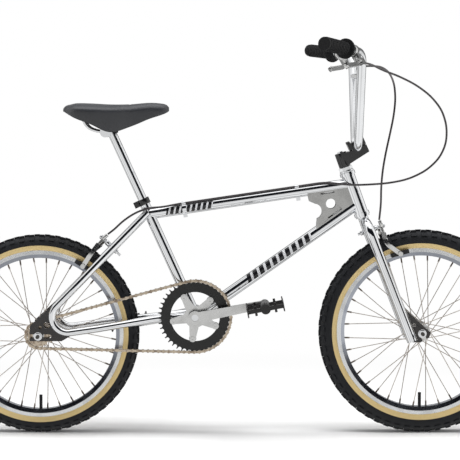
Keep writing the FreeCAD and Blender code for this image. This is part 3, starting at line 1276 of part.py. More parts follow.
def build_all():
    outside = solid_tube_shapes()
    build_head_tube()
    build_main_tubes(outside)
    build_bracket()
    build_stays(outside)
    build_rear_dropouts()
    build_bridges()
    build_gusset(outside)
    build_seat_clamp()
    build_cable_clips()
    build_fork()
    build_fork_dropouts()
    build_headset_locknut()
    build_stem()
    build_handlebar()
    build_grips()
    build_levers()
    build_tyre("rear_tyre", rear_axle, S.rear_tyre_radius, S.rear_tyre_section)
    build_tyre("front_tyre", front_axle, S.front_tyre_radius, S.front_tyre_section)
    build_rim("rear_rim", rear_axle)
    build_rim("front_rim", front_axle)
    build_spokes("rear_spokes", rear_axle, S.rear_flange_right, S.rear_flange_left)
    build_spokes("front_spokes", front_axle, S.front_flange, S.front_flange)
    build_hub("rear_hub", rear_axle, S.rear_flange_right, S.rear_flange_left, S.rear_hub_width)
    build_hub("front_hub", front_axle, S.front_flange, S.front_flange, S.front_hub_width)
    build_axle("rear_axle", rear_axle, S.rear_hub_width + 1, S.dropout_thick)
    build_axle("front_axle", front_axle, S.front_hub_width, S.fork_plate_thick)
    build_drive()
    build_cranks()
    build_pedals()
    build_seat_post()
    build_saddle()
    build_brake("rear")
    build_brake("front")
    build_cables()
    doc.recompute()


def export_all():
    """Stop on any failed object; otherwise write one STEP file per sub-part."""
    for item in doc.Objects:
        if "Invalid" in item.State or "Error" in item.State:
            raise RuntimeError(f"{item.Label} failed: {item.State}")
    for name, item in nodes.items():
        if item.Shape.isNull() or not item.Shape.isValid() or not item.Shape.Solids:
            raise RuntimeError(f"{name} has no valid solid")
    os.makedirs("parts", exist_ok=True)
    for name, item in nodes.items():
        item.Shape.exportStep(f"parts/{name}.step")
    print(len(nodes), "sub-parts written")


build_all()
export_all()
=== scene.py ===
"""Looks of the small-wheeled bicycle: finishes, saddle cover, cables, trim, floor, light and camera."""

import math

import bpy
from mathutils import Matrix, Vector


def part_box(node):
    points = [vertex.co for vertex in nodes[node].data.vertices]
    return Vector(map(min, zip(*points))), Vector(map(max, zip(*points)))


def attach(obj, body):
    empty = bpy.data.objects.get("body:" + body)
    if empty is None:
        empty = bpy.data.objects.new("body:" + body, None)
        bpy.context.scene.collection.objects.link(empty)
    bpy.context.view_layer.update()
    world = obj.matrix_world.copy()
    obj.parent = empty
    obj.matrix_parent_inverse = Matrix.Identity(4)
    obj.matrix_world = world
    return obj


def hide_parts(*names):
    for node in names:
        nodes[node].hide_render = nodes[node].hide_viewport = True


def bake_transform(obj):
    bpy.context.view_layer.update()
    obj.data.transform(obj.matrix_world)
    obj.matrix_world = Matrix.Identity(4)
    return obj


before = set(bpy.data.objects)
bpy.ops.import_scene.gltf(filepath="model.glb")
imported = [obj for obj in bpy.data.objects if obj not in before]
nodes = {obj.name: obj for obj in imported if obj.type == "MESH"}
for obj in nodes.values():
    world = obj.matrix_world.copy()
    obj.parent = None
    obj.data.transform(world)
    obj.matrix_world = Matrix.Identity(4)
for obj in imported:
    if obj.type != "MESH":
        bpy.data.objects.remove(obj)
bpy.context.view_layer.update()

# metres in every value below; the profile rows of the saddle are in millimetres
MM = 0.001
REAR_AXLE = (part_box("rear_tyre")[0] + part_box("rear_tyre")[1]) / 2
FRONT_AXLE = (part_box("front_tyre")[0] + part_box("front_tyre")[1]) / 2


# the two decorated tubes' centre lines, from the seat end to the head end
TOP_TUBE_LINE = Vector((-0.205, 0, 0.548)), Vector((0.2977, 0, 0.6221))
DOWN_TUBE_LINE = Vector((-0.090, 0, 0.295)), Vector((0.3151, 0, 0.5738))

# distances from a wheel's axle at which its pieces change finish; on the rim the change is a painted darker
# band of reflection and shade on the inner wall
NIPPLE_TOP = 0.1795
# inside this radius the rim's inner wall carries painted reflection and shade, a darker blue-grey colour
RIM_PAINTED_SHADE_EDGE = 0.1993
TAN_BAND_INNER = 0.2078
TAN_BAND_OUTER = 0.2215


# ------------------------------------------------------------------ camera

def place_camera():
    """A long lens, square to the bicycle's right side and a little above its axles."""
    camera_data = bpy.data.cameras.new("studio_camera")
    camera_data.lens = 141.7
    camera_data.sensor_width = 36
    camera_data.shift_x = 0.017
    camera_data.dof.use_dof = False
    camera = bpy.data.objects.new("studio_camera", camera_data)
    camera.location = (-0.023, -4.5, 0.85)
    pitch_down = math.radians(4.36)
    camera.rotation_euler = (math.pi / 2 - pitch_down, 0, 0)
    bpy.context.scene.collection.objects.link(camera)
    bpy.context.scene.camera = camera


# ------------------------------------------------------------------ node helpers

class Board:
    """Short ways to lay out shader nodes in one tree."""

    def __init__(self, tree):
        self.tree = tree
        self.column = 0

    def add(self, kind, **settings):
        node = self.tree.nodes.new(kind)
        node.location = (self.column, 0)
        self.column += 180
        for key, value in settings.items():
            setattr(node, key, value)
        return node

    def feed(self, socket, value):
        if isinstance(value, bpy.types.NodeSocket):
            self.tree.links.new(value, socket)
        elif value is not None:
            socket.default_value = value

    def math(self, operation, *values):
        node = self.add("ShaderNodeMath", operation=operation)
        for place, value in enumerate(values):
            self.feed(node.inputs[place], value)
        return node.outputs[0]

    def vector(self, operation, *values, scale=None):
        node = self.add("ShaderNodeVectorMath", operation=operation)
        for place, value in enumerate(values):
            self.feed(node.inputs[place], value)
        if scale is not None:
            self.feed(node.inputs["Scale"], scale)
        gives_number = operation in ("DOT_PRODUCT", "LENGTH")
        return node.outputs["Value" if gives_number else "Vector"]

    def ramp(self, value, low, high, to_low=0.0, to_high=1.0, smooth=True):
        node = self.add("ShaderNodeMapRange", interpolation_type="SMOOTHSTEP" if smooth else "LINEAR")
        for place, number in enumerate((value, low, high, to_low, to_high)):
            self.feed(node.inputs[place], number)
        return node.outputs[0]

    def band(self, value, low, high, soft):
        rise = self.ramp(value, low - soft, low + soft)
        fall = self.ramp(value, high - soft, high + soft, 1.0, 0.0)
        return self.math("MULTIPLY", rise, fall)

    def mix(self, share, first, second):
        node = self.add("ShaderNodeMix", data_type="RGBA")
        self.feed(node.inputs[0], share)
        self.feed(node.inputs[6], colour(first))
        self.feed(node.inputs[7], colour(second))
        return node.outputs[2]

    def lerp(self, share, first, second):
        node = self.add("ShaderNodeMix", data_type="FLOAT")
        for place, value in ((0, share), (2, first), (3, second)):
            self.feed(node.inputs[place], value)
        return node.outputs[0]

    def noise(self, scale, detail, place):
        node = self.add("ShaderNodeTexNoise")
        self.feed(node.inputs["Vector"], place)
        node.inputs["Scale"].default_value = scale
        node.inputs["Detail"].default_value = detail
        return node.outputs["Fac"]

    def spot(self):
        return self.add("ShaderNodeTexCoord").outputs["Object"]


def colour(value):
    if isinstance(value, (tuple, list)) and len(value) == 3:
        return (*value, 1.0)
    return value


def parts_of(board, vector):
    node = board.add("ShaderNodeSeparateXYZ")
    board.feed(node.inputs[0], vector)
    return node.outputs


# ------------------------------------------------------------------ shared effects

def group(name, inputs, outputs):
    """An empty node group with named float inputs (with defaults) and float outputs."""
    tree = bpy.data.node_groups.new(name, "ShaderNodeTree")
    for label, kind, value in inputs:
        socket = tree.interface.new_socket(name=label, in_out="INPUT", socket_type=kind)
        if value is not None:
            socket.default_value = value
    for label, kind in outputs:
        tree.interface.new_socket(name=label, in_out="OUTPUT", socket_type=kind)
    board = Board(tree)
    return tree, board, board.add("NodeGroupInput"), board.add("NodeGroupOutput")


FLOAT, VECTOR = "NodeSocketFloat", "NodeSocketVector"


def make_handling_marks():
    """Faint smears and fine wiping hairlines left on hard surfaces."""
    tree, board, given, result = group(
        "handling_marks",
        [("Place", VECTOR, None), ("Smear Size", FLOAT, 14.0), ("Hairline Size", FLOAT, 240.0)],
        [("Smear", FLOAT), ("Hairline", FLOAT)])
    smear = board.add("ShaderNodeTexNoise")
    board.feed(smear.inputs["Vector"], given.outputs["Place"])
    board.feed(smear.inputs["Scale"], given.outputs["Smear Size"])
    smear.inputs["Detail"].default_value = 5
    board.feed(result.inputs["Smear"], board.ramp(smear.outputs["Fac"], 0.42, 0.68))
    drawn = board.vector("MULTIPLY", given.outputs["Place"], (1.0, 3.0, 0.16))
    hair = board.add("ShaderNodeTexNoise")
    board.feed(hair.inputs["Vector"], drawn)
    board.feed(hair.inputs["Scale"], given.outputs["Hairline Size"])
    hair.inputs["Detail"].default_value = 4
    board.feed(result.inputs["Hairline"], hair.outputs["Fac"])
    return tree


def make_moulded_grain():
    """Fine pebbled skin of moulded rubber, plastic and vinyl."""
    tree, board, given, result = group(
        "moulded_grain", [("Place", VECTOR, None), ("Grain Size", FLOAT, 900.0)],
        [("Height", FLOAT), ("Shade", FLOAT)])
    cells = board.add("ShaderNodeTexVoronoi", feature="SMOOTH_F1")
    board.feed(cells.inputs["Vector"], given.outputs["Place"])
    board.feed(cells.inputs["Scale"], given.outputs["Grain Size"])
    broad = board.add("ShaderNodeTexNoise")
    board.feed(broad.inputs["Vector"], given.outputs["Place"])
    broad.inputs["Scale"].default_value = 22
    broad.inputs["Detail"].default_value = 6
    board.feed(result.inputs["Height"], cells.outputs["Distance"])
    board.feed(result.inputs["Shade"], broad.outputs["Fac"])
    return tree


HANDLING_MARKS = make_handling_marks()
MOULDED_GRAIN = make_moulded_grain()


def use(board, tree, place, **values):
    node = board.add("ShaderNodeGroup", node_tree=tree)
    board.feed(node.inputs["Place"], place)
    for key, value in values.items():
        board.feed(node.inputs[key.replace("_", " ")], value)
    return node.outputs


def new_material(name, metallic, coat=0.0, coat_rough=0.1, level=0.5):
    material = bpy.data.materials.new(name)
    material.use_nodes = True
    tree = material.node_tree
    tree.nodes.clear()
    board = Board(tree)
    shader = board.add("ShaderNodeBsdfPrincipled")
    output = board.add("ShaderNodeOutputMaterial")
    tree.links.new(shader.outputs[0], output.inputs[0])
    shader.inputs["Metallic"].default_value = metallic
    shader.inputs["Coat Weight"].default_value = coat
    shader.inputs["Coat Roughness"].default_value = coat_rough
    shader.inputs["Specular IOR Level"].default_value = level
    return material, board, shader


def bump(board, shader, height, distance, strength=1.0):
    node = board.add("ShaderNodeBump")
    node.inputs["Distance"].default_value = distance
    node.inputs["Strength"].default_value = strength
    board.feed(node.inputs["Height"], height)
    board.feed(shader.inputs["Normal"], node.outputs["Normal"])


# ------------------------------------------------------------------ metals

def chrome_base(board, shader):
    place = board.spot()
    marks = use(board, HANDLING_MARKS, place)
    board.feed(shader.inputs["Roughness"], board.lerp(marks["Smear"], 0.07, 0.12))
    plate = board.mix(marks["Smear"], (0.83, 0.84, 0.86), (0.79, 0.80, 0.815))
    bump(board, shader, marks["Hairline"], 0.000002, 0.2)
    return place, plate


def chrome():
    material, board, shader = new_material("bright_chrome", 1.0)
    _, plate = chrome_base(board, shader)
    board.feed(shader.inputs["Base Color"], plate)
    return material


def chrome_with_bars(name, line, reach, half_height, pitch, lean):
    """Chrome tube with a pale transfer on both its sides, printed with plain slanted black bars."""
    material, board, shader = new_material(name, 1.0)
    place, plate = chrome_base(board, shader)
    start, end = line
    along_way = (end - start).normalized()
    up_way = Vector((-along_way.z, 0, along_way.x))
    offset = board.vector("SUBTRACT", place, tuple(start))
    along = board.vector("DOT_PRODUCT", offset, tuple(along_way))
    up = board.vector("DOT_PRODUCT", offset, tuple(up_way))
    slanted = board.math("SUBTRACT", along, board.math("MULTIPLY", up, lean))
    cell = board.math("DIVIDE", slanted, pitch)
    bar = board.math("LESS_THAN", board.math("FRACT", cell), 0.64)
    tall = board.math("LESS_THAN", board.math("ABSOLUTE", up), half_height)
    first = board.math("GREATER_THAN", slanted, reach[0])
    last = board.math("LESS_THAN", slanted, reach[1])
    transfer = board.math("MULTIPLY", tall, board.math("MULTIPLY", first, last))
    ink = board.math("MULTIPLY", bar, transfer)
    ground = board.mix(transfer, plate, (0.74, 0.75, 0.77))
    board.feed(shader.inputs["Base Color"], board.mix(ink, ground, (0.012, 0.012, 0.014)))
    board.feed(shader.inputs["Metallic"], board.math("SUBTRACT", 1.0, transfer))
    return material


def threaded_steel(name, axle):
    """Bright nuts and washers with the darker threaded end of the shaft showing in their middle."""
    material, board, shader = new_material(name, 1.0)
    place, plate = chrome_base(board, shader)
    radius = wheel_radius(board, place, axle)
    shaft = board.ramp(radius, 0.0046, 0.0049, 1.0, 0.0)
    across = parts_of(board, place)["Y"]
    thread = board.math("SINE", board.math("MULTIPLY", across, 2 * math.pi / 0.001))
    board.feed(shader.inputs["Base Color"], board.mix(shaft, plate, (0.10, 0.095, 0.09)))
    board.feed(shader.inputs["Roughness"], board.lerp(shaft, 0.12, 0.42))
    bump(board, shader, board.math("MULTIPLY", thread, shaft), 0.0002)
    return material


def satin_alloy(name, shade, rough, hairline=0.4):
    material, board, shader = new_material(name, 1.0)
    marks = use(board, HANDLING_MARKS, board.spot(), Smear_Size=30.0, Hairline_Size=520.0)
    darker = tuple(value * 0.86 for value in shade)
    board.feed(shader.inputs["Base Color"], board.mix(marks["Smear"], shade, darker))
    board.feed(shader.inputs["Roughness"], board.lerp(marks["Hairline"], rough * 0.75, rough * 1.25))
    bump(board, shader, marks["Hairline"], 0.00003, hairline)
    return material


def rim_metal(name, axle):
    """Turned alloy rim: bright braking faces with fine turning lines, and a painted darker blue-grey inner
    wall standing in for the dark reflection and shade it shows.
    """
    material, board, shader = new_material(name, 1.0)
    place = board.spot()
    radius = wheel_radius(board, place, axle)
    marks = use(board, HANDLING_MARKS, place, Smear_Size=24.0)
    face_not_painted_dark = board.ramp(radius, RIM_PAINTED_SHADE_EDGE - 0.0008, RIM_PAINTED_SHADE_EDGE + 0.0007)
    face = board.mix(marks["Smear"], (0.76, 0.77, 0.78), (0.68, 0.69, 0.70))
    # painted reflection and shade: the inner wall is coloured darker blue-grey in place of the dark
    # reflection and shade it shows
    painted_dark_inner = board.mix(marks["Smear"], (0.40, 0.42, 0.47), (0.33, 0.35, 0.40))
    board.feed(shader.inputs["Base Color"], board.mix(face_not_painted_dark, painted_dark_inner, face))
    board.feed(shader.inputs["Roughness"], board.lerp(marks["Smear"], 0.20, 0.30))
    turning = board.math("SINE", board.math("MULTIPLY", radius, 2 * math.pi / 0.0008))
    bump(board, shader, board.math("MULTIPLY", turning, face_not_painted_dark), 0.00003, 0.5)
    return material


def black_finish(name, shade, rough, coat, metallic=0.0):
    material, board, shader = new_material(name, metallic, coat=coat, coat_rough=0.16)
    marks = use(board, HANDLING_MARKS, board.spot(), Smear_Size=40.0)
    lighter = tuple(min(1.0, value * 1.7 + 0.004) for value in shade)
    board.feed(shader.inputs["Base Color"], board.mix(marks["Smear"], shade, lighter))
    board.feed(shader.inputs["Roughness"], board.lerp(marks["Smear"], rough, rough * 1.35))
    bump(board, shader, marks["Hairline"], 0.00002, 0.3)
    return material


def moulded(name, shade, rough, grain_size, depth, level=0.5):
    material, board, shader = new_material(name, 0.0, level=level)
    grain = use(board, MOULDED_GRAIN, board.spot(), Grain_Size=grain_size)
    lighter = tuple(value * 1.5 for value in shade)
    board.feed(shader.inputs["Base Color"], board.mix(grain["Shade"], shade, lighter))
    board.feed(shader.inputs["Roughness"], board.lerp(grain["Shade"], rough * 0.85, rough * 1.15))
    bump(board, shader, grain["Height"], depth)
    return material


def chain_steel():
    """Nickelled plates, warmer and darker where oil gathers around the pins."""
    material, board, shader = new_material("oiled_chain_steel", 1.0)
    marks = use(board, HANDLING_MARKS, board.spot(), Smear_Size=120.0, Hairline_Size=700.0)
    shade = board.mix(marks["Smear"], (0.62, 0.53, 0.42), (0.36, 0.28, 0.21))
    board.feed(shader.inputs["Base Color"], shade)
    board.feed(shader.inputs["Roughness"], board.lerp(marks["Smear"], 0.26, 0.42))
    bump(board, shader, marks["Hairline"], 0.00002, 0.4)
    return material


def wheel_radius(board, place, axle):
    offset = board.vector("MULTIPLY", board.vector("SUBTRACT", place, tuple(axle)), (1.0, 0.0, 1.0))
    return board.vector("LENGTH", offset)


def tyre_rubber(name, axle):
    """Blue-black tread, a tan band above the rim, and fine moulded rings over the band."""
    material, board, shader = new_material(name, 0.0, level=0.35)
    place = board.spot()
    radius = wheel_radius(board, place, axle)
    grain = use(board, MOULDED_GRAIN, place, Grain_Size=1100.0)
    tread = board.mix(grain["Shade"], (0.004, 0.0045, 0.006), (0.012, 0.013, 0.016))
    side = parts_of(board, place)["Y"]
    off_middle = board.ramp(board.math("ABSOLUTE", side), 0.0085, 0.0095)
    tan = board.math("MULTIPLY", board.band(radius, TAN_BAND_INNER, TAN_BAND_OUTER, 0.0004), off_middle)
    weave = board.noise(420.0, 2.0, place)
    tan_shade = board.mix(weave, (0.80, 0.62, 0.30), (0.73, 0.55, 0.25))
    board.feed(shader.inputs["Base Color"], board.mix(tan, tread, tan_shade))
    board.feed(shader.inputs["Roughness"], board.lerp(tan, 0.62, 0.55))
    rings = board.math("SINE", board.math("MULTIPLY", radius, 2 * math.pi / 0.0016))
    ringed = board.band(radius, TAN_BAND_OUTER, TAN_BAND_OUTER + 0.010, 0.001)
    lines = board.math("MULTIPLY", rings, ringed)
    pebbles = board.math("MULTIPLY", grain["Height"], 0.35)
    height = board.math("ADD", pebbles, board.math("MULTIPLY", lines, 0.25))
    bump(board, shader, height, 0.0004)
    return material


def spoke_wire(name, axle):
    """Drawn steel spokes with darker nipples at the rim."""
    material, board, shader = new_material(name, 1.0)
    place = board.spot()
    radius = wheel_radius(board, place, axle)
    nipple = board.ramp(radius, NIPPLE_TOP - 0.0005, NIPPLE_TOP + 0.0005)
    marks = use(board, HANDLING_MARKS, place, Smear_Size=60.0)
    wire = board.mix(marks["Smear"], (0.60, 0.55, 0.50), (0.46, 0.41, 0.37))
    board.feed(shader.inputs["Base Color"], board.mix(nipple, wire, (0.20, 0.165, 0.14)))
    board.feed(shader.inputs["Roughness"], board.lerp(nipple, 0.28, 0.45))
    bump(board, shader, marks["Hairline"], 0.00001)
    return material


def saddle_vinyl():
    """Dark vinyl, finely pebbled all over, under a thin satin dressing."""
    material, board, shader = new_material("saddle_vinyl", 0.0, coat=0.25, coat_rough=0.38, level=0.5)
    place = board.spot()
    grain = use(board, MOULDED_GRAIN, place, Grain_Size=1300.0)
    shade = board.mix(grain["Shade"], (0.018, 0.019, 0.0225), (0.030, 0.0315, 0.036))
    board.feed(shader.inputs["Base Color"], shade)
    board.feed(shader.inputs["Roughness"], board.lerp(grain["Shade"], 0.36, 0.48))
    bump(board, shader, grain["Height"], 0.00005)
    return material


# ------------------------------------------------------------------ giving the nodes their finishes

SHARP_EDGE_DEGREES = 34


def join_seams(item):
    weld = item.modifiers.new("join_seams", "WELD")
    weld.merge_threshold = 0.00001


def break_edges(item, width, edge_material=None):
    """A small machined chamfer on every sharp edge, so that edges catch the light."""
    join_seams(item)
    chamfer = item.modifiers.new("broken_edges", "BEVEL")
    chamfer.width = width
    chamfer.segments = 2
    chamfer.limit_method = "ANGLE"
    chamfer.angle_limit = math.radians(SHARP_EDGE_DEGREES)
    chamfer.use_clamp_overlap = True
    chamfer.harden_normals = True
    if edge_material is not None:
        item.data.materials.append(edge_material)
        chamfer.material = 1


def finish_node(name, material, chamfer=None, edge_material=None):
    item = nodes[name]
    item.data.materials.clear()
    item.data.materials.append(material)
    if chamfer:
        break_edges(item, chamfer, edge_material)


def finish_all_nodes():
    bright = chrome()
    alloy = satin_alloy("satin_alloy", (0.70, 0.70, 0.695), 0.24)
    polished = satin_alloy("polished_edge", (0.86, 0.84, 0.81), 0.12, 0.1)
    plate = satin_alloy("satin_plate", (0.55, 0.55, 0.54), 0.30)
    # painted reflection: the chrome dropout plates are coloured near-black in place of the dark
    # surroundings they mirror
    plate_painted_dark_reflection = black_finish("dropout_painted_dark_reflection", (0.008, 0.0055, 0.005), 0.25, 0.4)
    anodised = black_finish("black_anodised", (0.003, 0.003, 0.0035), 0.16, 0.35)
    ring_black = black_finish("chainring_black", (0.004, 0.004, 0.004), 0.36, 0.1)
    rubber = moulded("pad_rubber", (0.014, 0.014, 0.015), 0.7, 900.0, 0.0002)
    grip_rubber = moulded("grip_rubber", (0.006, 0.006, 0.0065), 0.62, 1100.0, 0.0003, 0.3)
    base_plastic = moulded("saddle_plastic", (0.012, 0.012, 0.013), 0.5, 700.0, 0.0001)
    pedal = black_finish("pedal_black", (0.006, 0.005, 0.005), 0.36, 0.15)
    housing = black_finish("cable_housing", (0.016, 0.012, 0.014), 0.22, 0.6)
    chain = chain_steel()
    top_bars = chrome_with_bars(
        "top_tube_chrome", TOP_TUBE_LINE,
        reach=(0.044, 0.160), half_height=0.0088, pitch=0.0135, lean=0.35)
    down_bars = chrome_with_bars(
        "down_tube_chrome", DOWN_TUBE_LINE,
        reach=(0.158, 0.350), half_height=0.0098, pitch=0.0195, lean=0.30)
    plain = {
        "head_tube": bright, "top_tube": top_bars, "down_tube": down_bars, "seat_tube": bright,
        "loop_stay_right": bright, "loop_stay_left": bright, "stay_bridges": bright, "fork_steerer": bright,
        "fork_leg_right": bright, "fork_leg_left": bright, "handlebar": bright, "seat_post": bright,
        "saddle_rails": bright, "saddle_shell": base_plastic, "chain": chain, "cable_clips": bright,
        "front_brake_cable": housing, "grips": grip_rubber, "bb_spindle": bright, "pedal_spindles": bright,
        "rear_tyre": tyre_rubber("rear_tyre_rubber", REAR_AXLE),
        "front_tyre": tyre_rubber("front_tyre_rubber", FRONT_AXLE),
        "rear_spokes": spoke_wire("rear_spoke_steel", REAR_AXLE),
        "front_spokes": spoke_wire("front_spoke_steel", FRONT_AXLE),
        "rear_rim": rim_metal("rear_rim_alloy", REAR_AXLE),
        "front_rim": rim_metal("front_rim_alloy", FRONT_AXLE), "rear_hub": alloy, "front_hub": alloy,
    }
    for name, material in plain.items():
        finish_node(name, material)
    machined = {
        "bottom_bracket_shell": (bright, 0.6),
        "rear_axle": (threaded_steel("rear_axle_steel", REAR_AXLE), 0.5),
        "front_axle": (threaded_steel("front_axle_steel", FRONT_AXLE), 0.5),
        "rear_brake_bolt": (bright, 0.5), "front_brake_bolt": (bright, 0.5),
        "headset_locknut": (bright, 0.7),
        "stem_bolt": (bright, 0.6), "crank_arm_right": (alloy, 0.8), "crank_arm_left": (alloy, 0.8),
        "lever_right": (alloy, 0.7), "lever_left": (alloy, 0.7), "lever_perches": (alloy, 0.7),
        "head_gusset": (plate, 0.4), "stem_body": (anodised, 1.2), "stem_cap": (anodised, 1.2),
        "seat_clamp": (anodised, 0.7), "chainring": (ring_black, 0.25), "freewheel_cog": (chain, 0.25),
        "pedal_right": (pedal, 0.6), "pedal_left": (pedal, 0.6),
    }
    for name, (material, width) in machined.items():
        finish_node(name, material, width * MM)
    # dropout faces carry the painted dark reflection; their chamfers are bright polished metal
    for name in ("rear_dropouts", "fork_dropouts"):
        finish_node(name, plate_painted_dark_reflection, 0.7 * MM, polished)
    for wheel in ("front", "rear"):
        for side in ("right", "left"):
            finish_node(f"{wheel}_brake_arm_{side}", alloy, 0.8 * MM)
            finish_node(f"{wheel}_brake_pad_{side}", rubber, 0.8 * MM)
    return {"housing": housing, "plastic": base_plastic}


# ------------------------------------------------------------------ saddle cover

SADDLE_LENGTH = 0.256
SADDLE_STATIONS = [
    (0.0, 10, 66, 60), (0.02, 31, 71, 59), (0.07, 53, 74.5, 52), (0.12, 66, 77, 45), (0.26, 74, 76.5, 32),
    (0.45, 60, 74, 11), (0.64, 37, 74.5, 24), (0.82, 27, 78, 43), (0.93, 22.5, 76.5, 52),
    (0.98, 15, 73.5, 57), (1.0, 5, 68.5, 61),
]


def between(stations, share, field):
    """A smooth value between stations, by a cubic through the four nearest."""
    place = max(index for index, row in enumerate(stations) if row[0] <= share + 1e-9)
    place = min(place, len(stations) - 2)
    rows = [stations[max(0, min(len(stations) - 1, place + step))] for step in (-1, 0, 1, 2)]
    start, end = rows[1], rows[2]
    gap = end[0] - start[0]
    part = (share - start[0]) / gap
    slope_in = (end[field] - rows[0][field]) / max(end[0] - rows[0][0], 1e-9) * gap
    slope_out = (rows[3][field] - start[field]) / max(rows[3][0] - start[0], 1e-9) * gap
    a, b = part * part, part * part * part
    return ((2 * b - 3 * a + 1) * start[field] + (b - 2 * a + part) * slope_in
            + (3 * a - 2 * b) * end[field] + (b - a) * slope_out)


def saddle_section(half, top, low, around):
    """A point on one side of the section, from its middle (0) over the shoulder to its low edge (1)."""
    shoulder = min(17.0, (top - low) * 0.8)
    if around < 0.7:
        turn = around / 0.7 * math.pi / 2
        out = half * math.sin(turn) ** 0.92
        height = top - shoulder * (1 - math.cos(turn) ** 0.80)
        return out, height
    down = (around - 0.7) / 0.3
    return half * (1 - 0.035 * down * down), (top - shoulder) + (low - top + shoulder) * down


def mesh_piece(name, verts, faces, material):
    mesh = bpy.data.meshes.new(name)
    mesh.from_pydata([tuple(v) for v in verts], [], faces)
    mesh.update()
    mesh.polygons.foreach_set("use_smooth", [True] * len(mesh.polygons))
    mesh.materials.append(material)
    piece = bpy.data.objects.new(name, mesh)
    bpy.context.scene.collection.objects.link(piece)
    return piece


def rib_height(share, out, half, around):
    """Raised diagonal ribs over the rear half of the top, fading out at its borders."""
    x = share * SADDLE_LENGTH
    wave = math.sin((x * 0.82 + abs(out) * MM * 0.57) * 2 * math.pi / 0.0062)
    ends = min(1.0, max(0.0, (share - 0.07) / 0.05)) * min(1.0, max(0.0, (0.60 - share) / 0.06))
    border = min(1.0, max(0.0, (0.62 - around) / 0.05)) * min(1.0, max(0.0, (around - 0.10) / 0.04))
    return 0.45 * ends * border * (wave ** 3 if wave > 0 else 0.35 * wave)


def channel_depth(share, around):
    """Sewn channels: one round the ribbed panel and one along the middle."""
    depth = 0.0
    for line, width in ((0.655, 0.022), (0.075, 0.022)):
        depth += 1.1 * math.exp(-((around - line) / width) ** 2) * (1.0 if 0.05 < share < 0.66 else 0.0)
    depth += 1.0 * math.exp(-((share - 0.635) / 0.010) ** 2) * (1.0 if around < 0.66 else 0.0)
    return depth


def build_saddle_cover():
    """Padded vinyl cover: crowned top, rounded shoulders and a skirt that wraps under the base."""
    low_corner, high_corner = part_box("saddle_cover")
    tail = low_corner.x - 0.02 * SADDLE_LENGTH
    level = high_corner.z - 78 * MM
    lengths, rounds = 240, 60
    verts, faces = [], []
    for i in range(lengths + 1):
        share = i / lengths
        half = between(SADDLE_STATIONS, share, 1)
        top = between(SADDLE_STATIONS, share, 2)
        low = between(SADDLE_STATIONS, share, 3)
        for j in range(-rounds, rounds + 1):
            around = abs(j) / rounds
            side = 1 if j >= 0 else -1
            out, height = saddle_section(half, top, low, around)
            height += rib_height(share, out, half, around) - channel_depth(share, around)
            verts.append((tail + share * SADDLE_LENGTH, side * out * MM, level + height * MM))
    row = 2 * rounds + 1
    for i in range(lengths):
        for j in range(row - 1):
            a = i * row + j
            faces.append((a, a + 1, a + row + 1, a + row))
    for start in (0, lengths * row):
        ring = list(range(start, start + row))
        faces.append(tuple(ring if start else reversed(ring)))
    cover = mesh_piece("saddle_cover_vinyl", verts, faces, saddle_vinyl())
    shell = cover.modifiers.new("cover_thickness", "SOLIDIFY")
    shell.thickness = 3.0 * MM
    shell.offset = -1
    cover.data.set_sharp_from_angle(angle=math.radians(50))
    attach(cover, "saddle")
    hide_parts("saddle_cover")
    return tail, level


def tube_along(name, points, radius, material, closed=False):
    curve = bpy.data.curves.new(name, "CURVE")
    curve.dimensions = "3D"
    curve.bevel_depth = radius
    curve.bevel_resolution = 4
    curve.use_fill_caps = True
    spline = curve.splines.new("NURBS")
    spline.points.add(len(points) - 1)
    for point, spot in zip(spline.points, points):
        point.co = (*spot, 1.0)
    spline.use_cyclic_u = closed
    spline.order_u = 3
    spline.use_endpoint_u = not closed
    curve.materials.append(material)
    piece = bpy.data.objects.new(name, curve)
    bpy.context.scene.collection.objects.link(piece)
    return piece


def build_saddle_trim(tail, level, material):
    """Black moulded bead round the cover's low edge."""
    points = []
    for side in (-1, 1):
        shares = [0.02 + 0.95 * step / 24 for step in range(25)]
        for share in (shares if side < 0 else reversed(shares)):
            half = between(SADDLE_STATIONS, share, 1)
            low = between(SADDLE_STATIONS, share, 3)
            points.append((tail + share * SADDLE_LENGTH, side * half * 0.955 * MM, level + low * MM))
    trim = tube_along("saddle_trim", points, 1.8 * MM, material, closed=True)
    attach(trim, "saddle")


# ------------------------------------------------------------------ rear brake cable over the headset

def build_rear_cable(material):
    """The rear brake's housing, copied from the part as one fixed piece in the housing finish."""
    source = nodes["rear_brake_cable"]
    cable = source.copy()
    cable.data = source.data.copy()
    cable.name = "rear_cable_housing"
    for key in list(cable.keys()):
        del cable[key]
    cable.parent = None
    cable.data.materials.clear()
    cable.data.materials.append(material)
    bpy.context.scene.collection.objects.link(cable)
    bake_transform(cable)
    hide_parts("rear_brake_cable")


# ------------------------------------------------------------------ studio

AMBIENT = 0.36


def overhead_softbox():
    """One broad lamp above; polished metal doesn't mirror it, because the world draws its reflections."""
    light = bpy.data.lights.new("overhead_softbox", "AREA")
    light.shape = "RECTANGLE"
    light.size, light.size_y = 2.4, 0.8
    light.energy = 74
    lamp = bpy.data.objects.new("overhead_softbox", light)
    lamp.location = (0.0, -0.1, 2.6)
    bpy.context.scene.collection.objects.link(lamp)
    lamp.visible_glossy = False


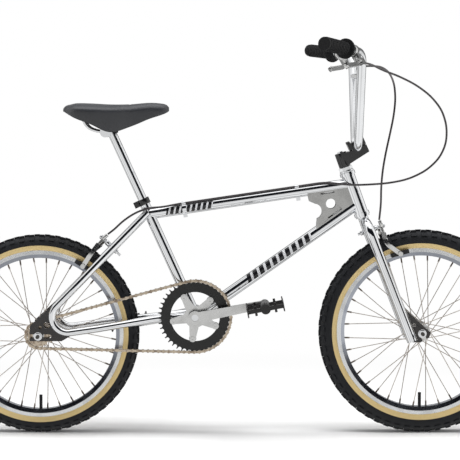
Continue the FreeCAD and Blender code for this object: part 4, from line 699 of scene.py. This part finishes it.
def studio_surroundings():
    """White all round, with the dark strips that draw the long thin lines down polished tubes."""
    world = bpy.data.worlds.new("studio")
    world.use_nodes = True
    bpy.context.scene.world = world
    tree = world.node_tree
    tree.nodes.clear()
    board = Board(tree)
    way = board.vector("NORMALIZE", board.add("ShaderNodeTexCoord").outputs["Generated"])
    axes = parts_of(board, way)
    toward = board.math("MULTIPLY", axes["Y"], -1.0)
    forward_rise = board.vector("DOT_PRODUCT", way, (0.55, 0.0, 0.835))
    lower = board.ramp(forward_rise, -0.16, -0.02, 1.0, 0.0)
    low_band = board.band(toward, -0.34, 0.10, 0.08)
    near_band = board.band(toward, 0.58, 0.80, 0.06)
    strips = [
        board.math("MULTIPLY", board.ramp(toward, 0.38, 0.46), board.band(axes["Z"], 0.05, 0.74, 0.03)),
        board.math("MULTIPLY", board.band(toward, -0.93, -0.62, 0.06), 0.85),
        board.math("MULTIPLY", board.math("MULTIPLY", low_band, lower), 0.62),
        board.math("MULTIPLY", board.math("MULTIPLY", near_band, lower), 0.40),
        board.math("MULTIPLY", board.ramp(toward, -0.45, -0.98), 0.45),
    ]
    dark = strips[0]
    for strip in strips[1:]:
        dark = board.math("MAXIMUM", dark, strip)
    centre_grey = board.math("MULTIPLY", board.ramp(toward, 0.86, 1.0), 0.22)
    dark = board.math("MAXIMUM", dark, centre_grey)
    reflected = board.mix(dark, (1.0, 1.0, 0.99), (0.008, 0.009, 0.012))
    reflected = board.mix(board.ramp(axes["Z"], 0.72, 0.95), reflected, (1.8, 1.8, 1.8))
    ray = board.add("ShaderNodeLightPath")
    lit = board.mix(ray.outputs["Is Glossy Ray"], (AMBIENT, AMBIENT, AMBIENT), reflected)
    lit = board.mix(ray.outputs["Is Camera Ray"], lit, (1.0, 1.0, 1.0))
    background = board.add("ShaderNodeBackground")
    board.feed(background.inputs["Color"], lit)
    background.inputs["Strength"].default_value = 1.0
    output = board.add("ShaderNodeOutputWorld")
    tree.links.new(background.outputs[0], output.inputs[0])


def studio_floor():
    mesh = bpy.data.meshes.new("studio_floor")
    reach = 30.0
    corners = [(-reach, -reach, 0), (reach, -reach, 0), (reach, reach, 0), (-reach, reach, 0)]
    mesh.from_pydata(corners, [], [(0, 1, 2, 3)])
    material, board, shader = new_material("pale_floor", 0.0, level=0.0)
    speck = board.noise(35.0, 4.0, board.spot())
    paper = board.mix(speck, (0.93, 0.93, 0.93), (0.945, 0.945, 0.945))
    away = board.vector("LENGTH", board.vector("MULTIPLY", board.spot(), (0.8, 1.0, 1.0)))
    far = board.ramp(away, 0.55, 1.5)
    board.feed(shader.inputs["Base Color"], board.mix(far, paper, (0.0, 0.0, 0.0)))
    board.feed(shader.inputs["Emission Color"], board.mix(far, (0.0, 0.0, 0.0), (1.0, 1.0, 1.0)))
    shader.inputs["Emission Strength"].default_value = 1.0
    shader.inputs["Roughness"].default_value = 0.9
    mesh.materials.append(material)
    floor = bpy.data.objects.new("studio_floor", mesh)
    bpy.context.scene.collection.objects.link(floor)
    floor.visible_glossy = False


def light_studio():
    studio_surroundings()
    studio_floor()
    overhead_softbox()
    bpy.context.scene.view_settings.view_transform = "Standard"


# ------------------------------------------------------------------ assembly

place_camera()
finishes = finish_all_nodes()
saddle_tail, saddle_level = build_saddle_cover()
build_saddle_trim(saddle_tail, saddle_level, finishes["plastic"])
build_rear_cable(finishes["housing"])
light_studio()
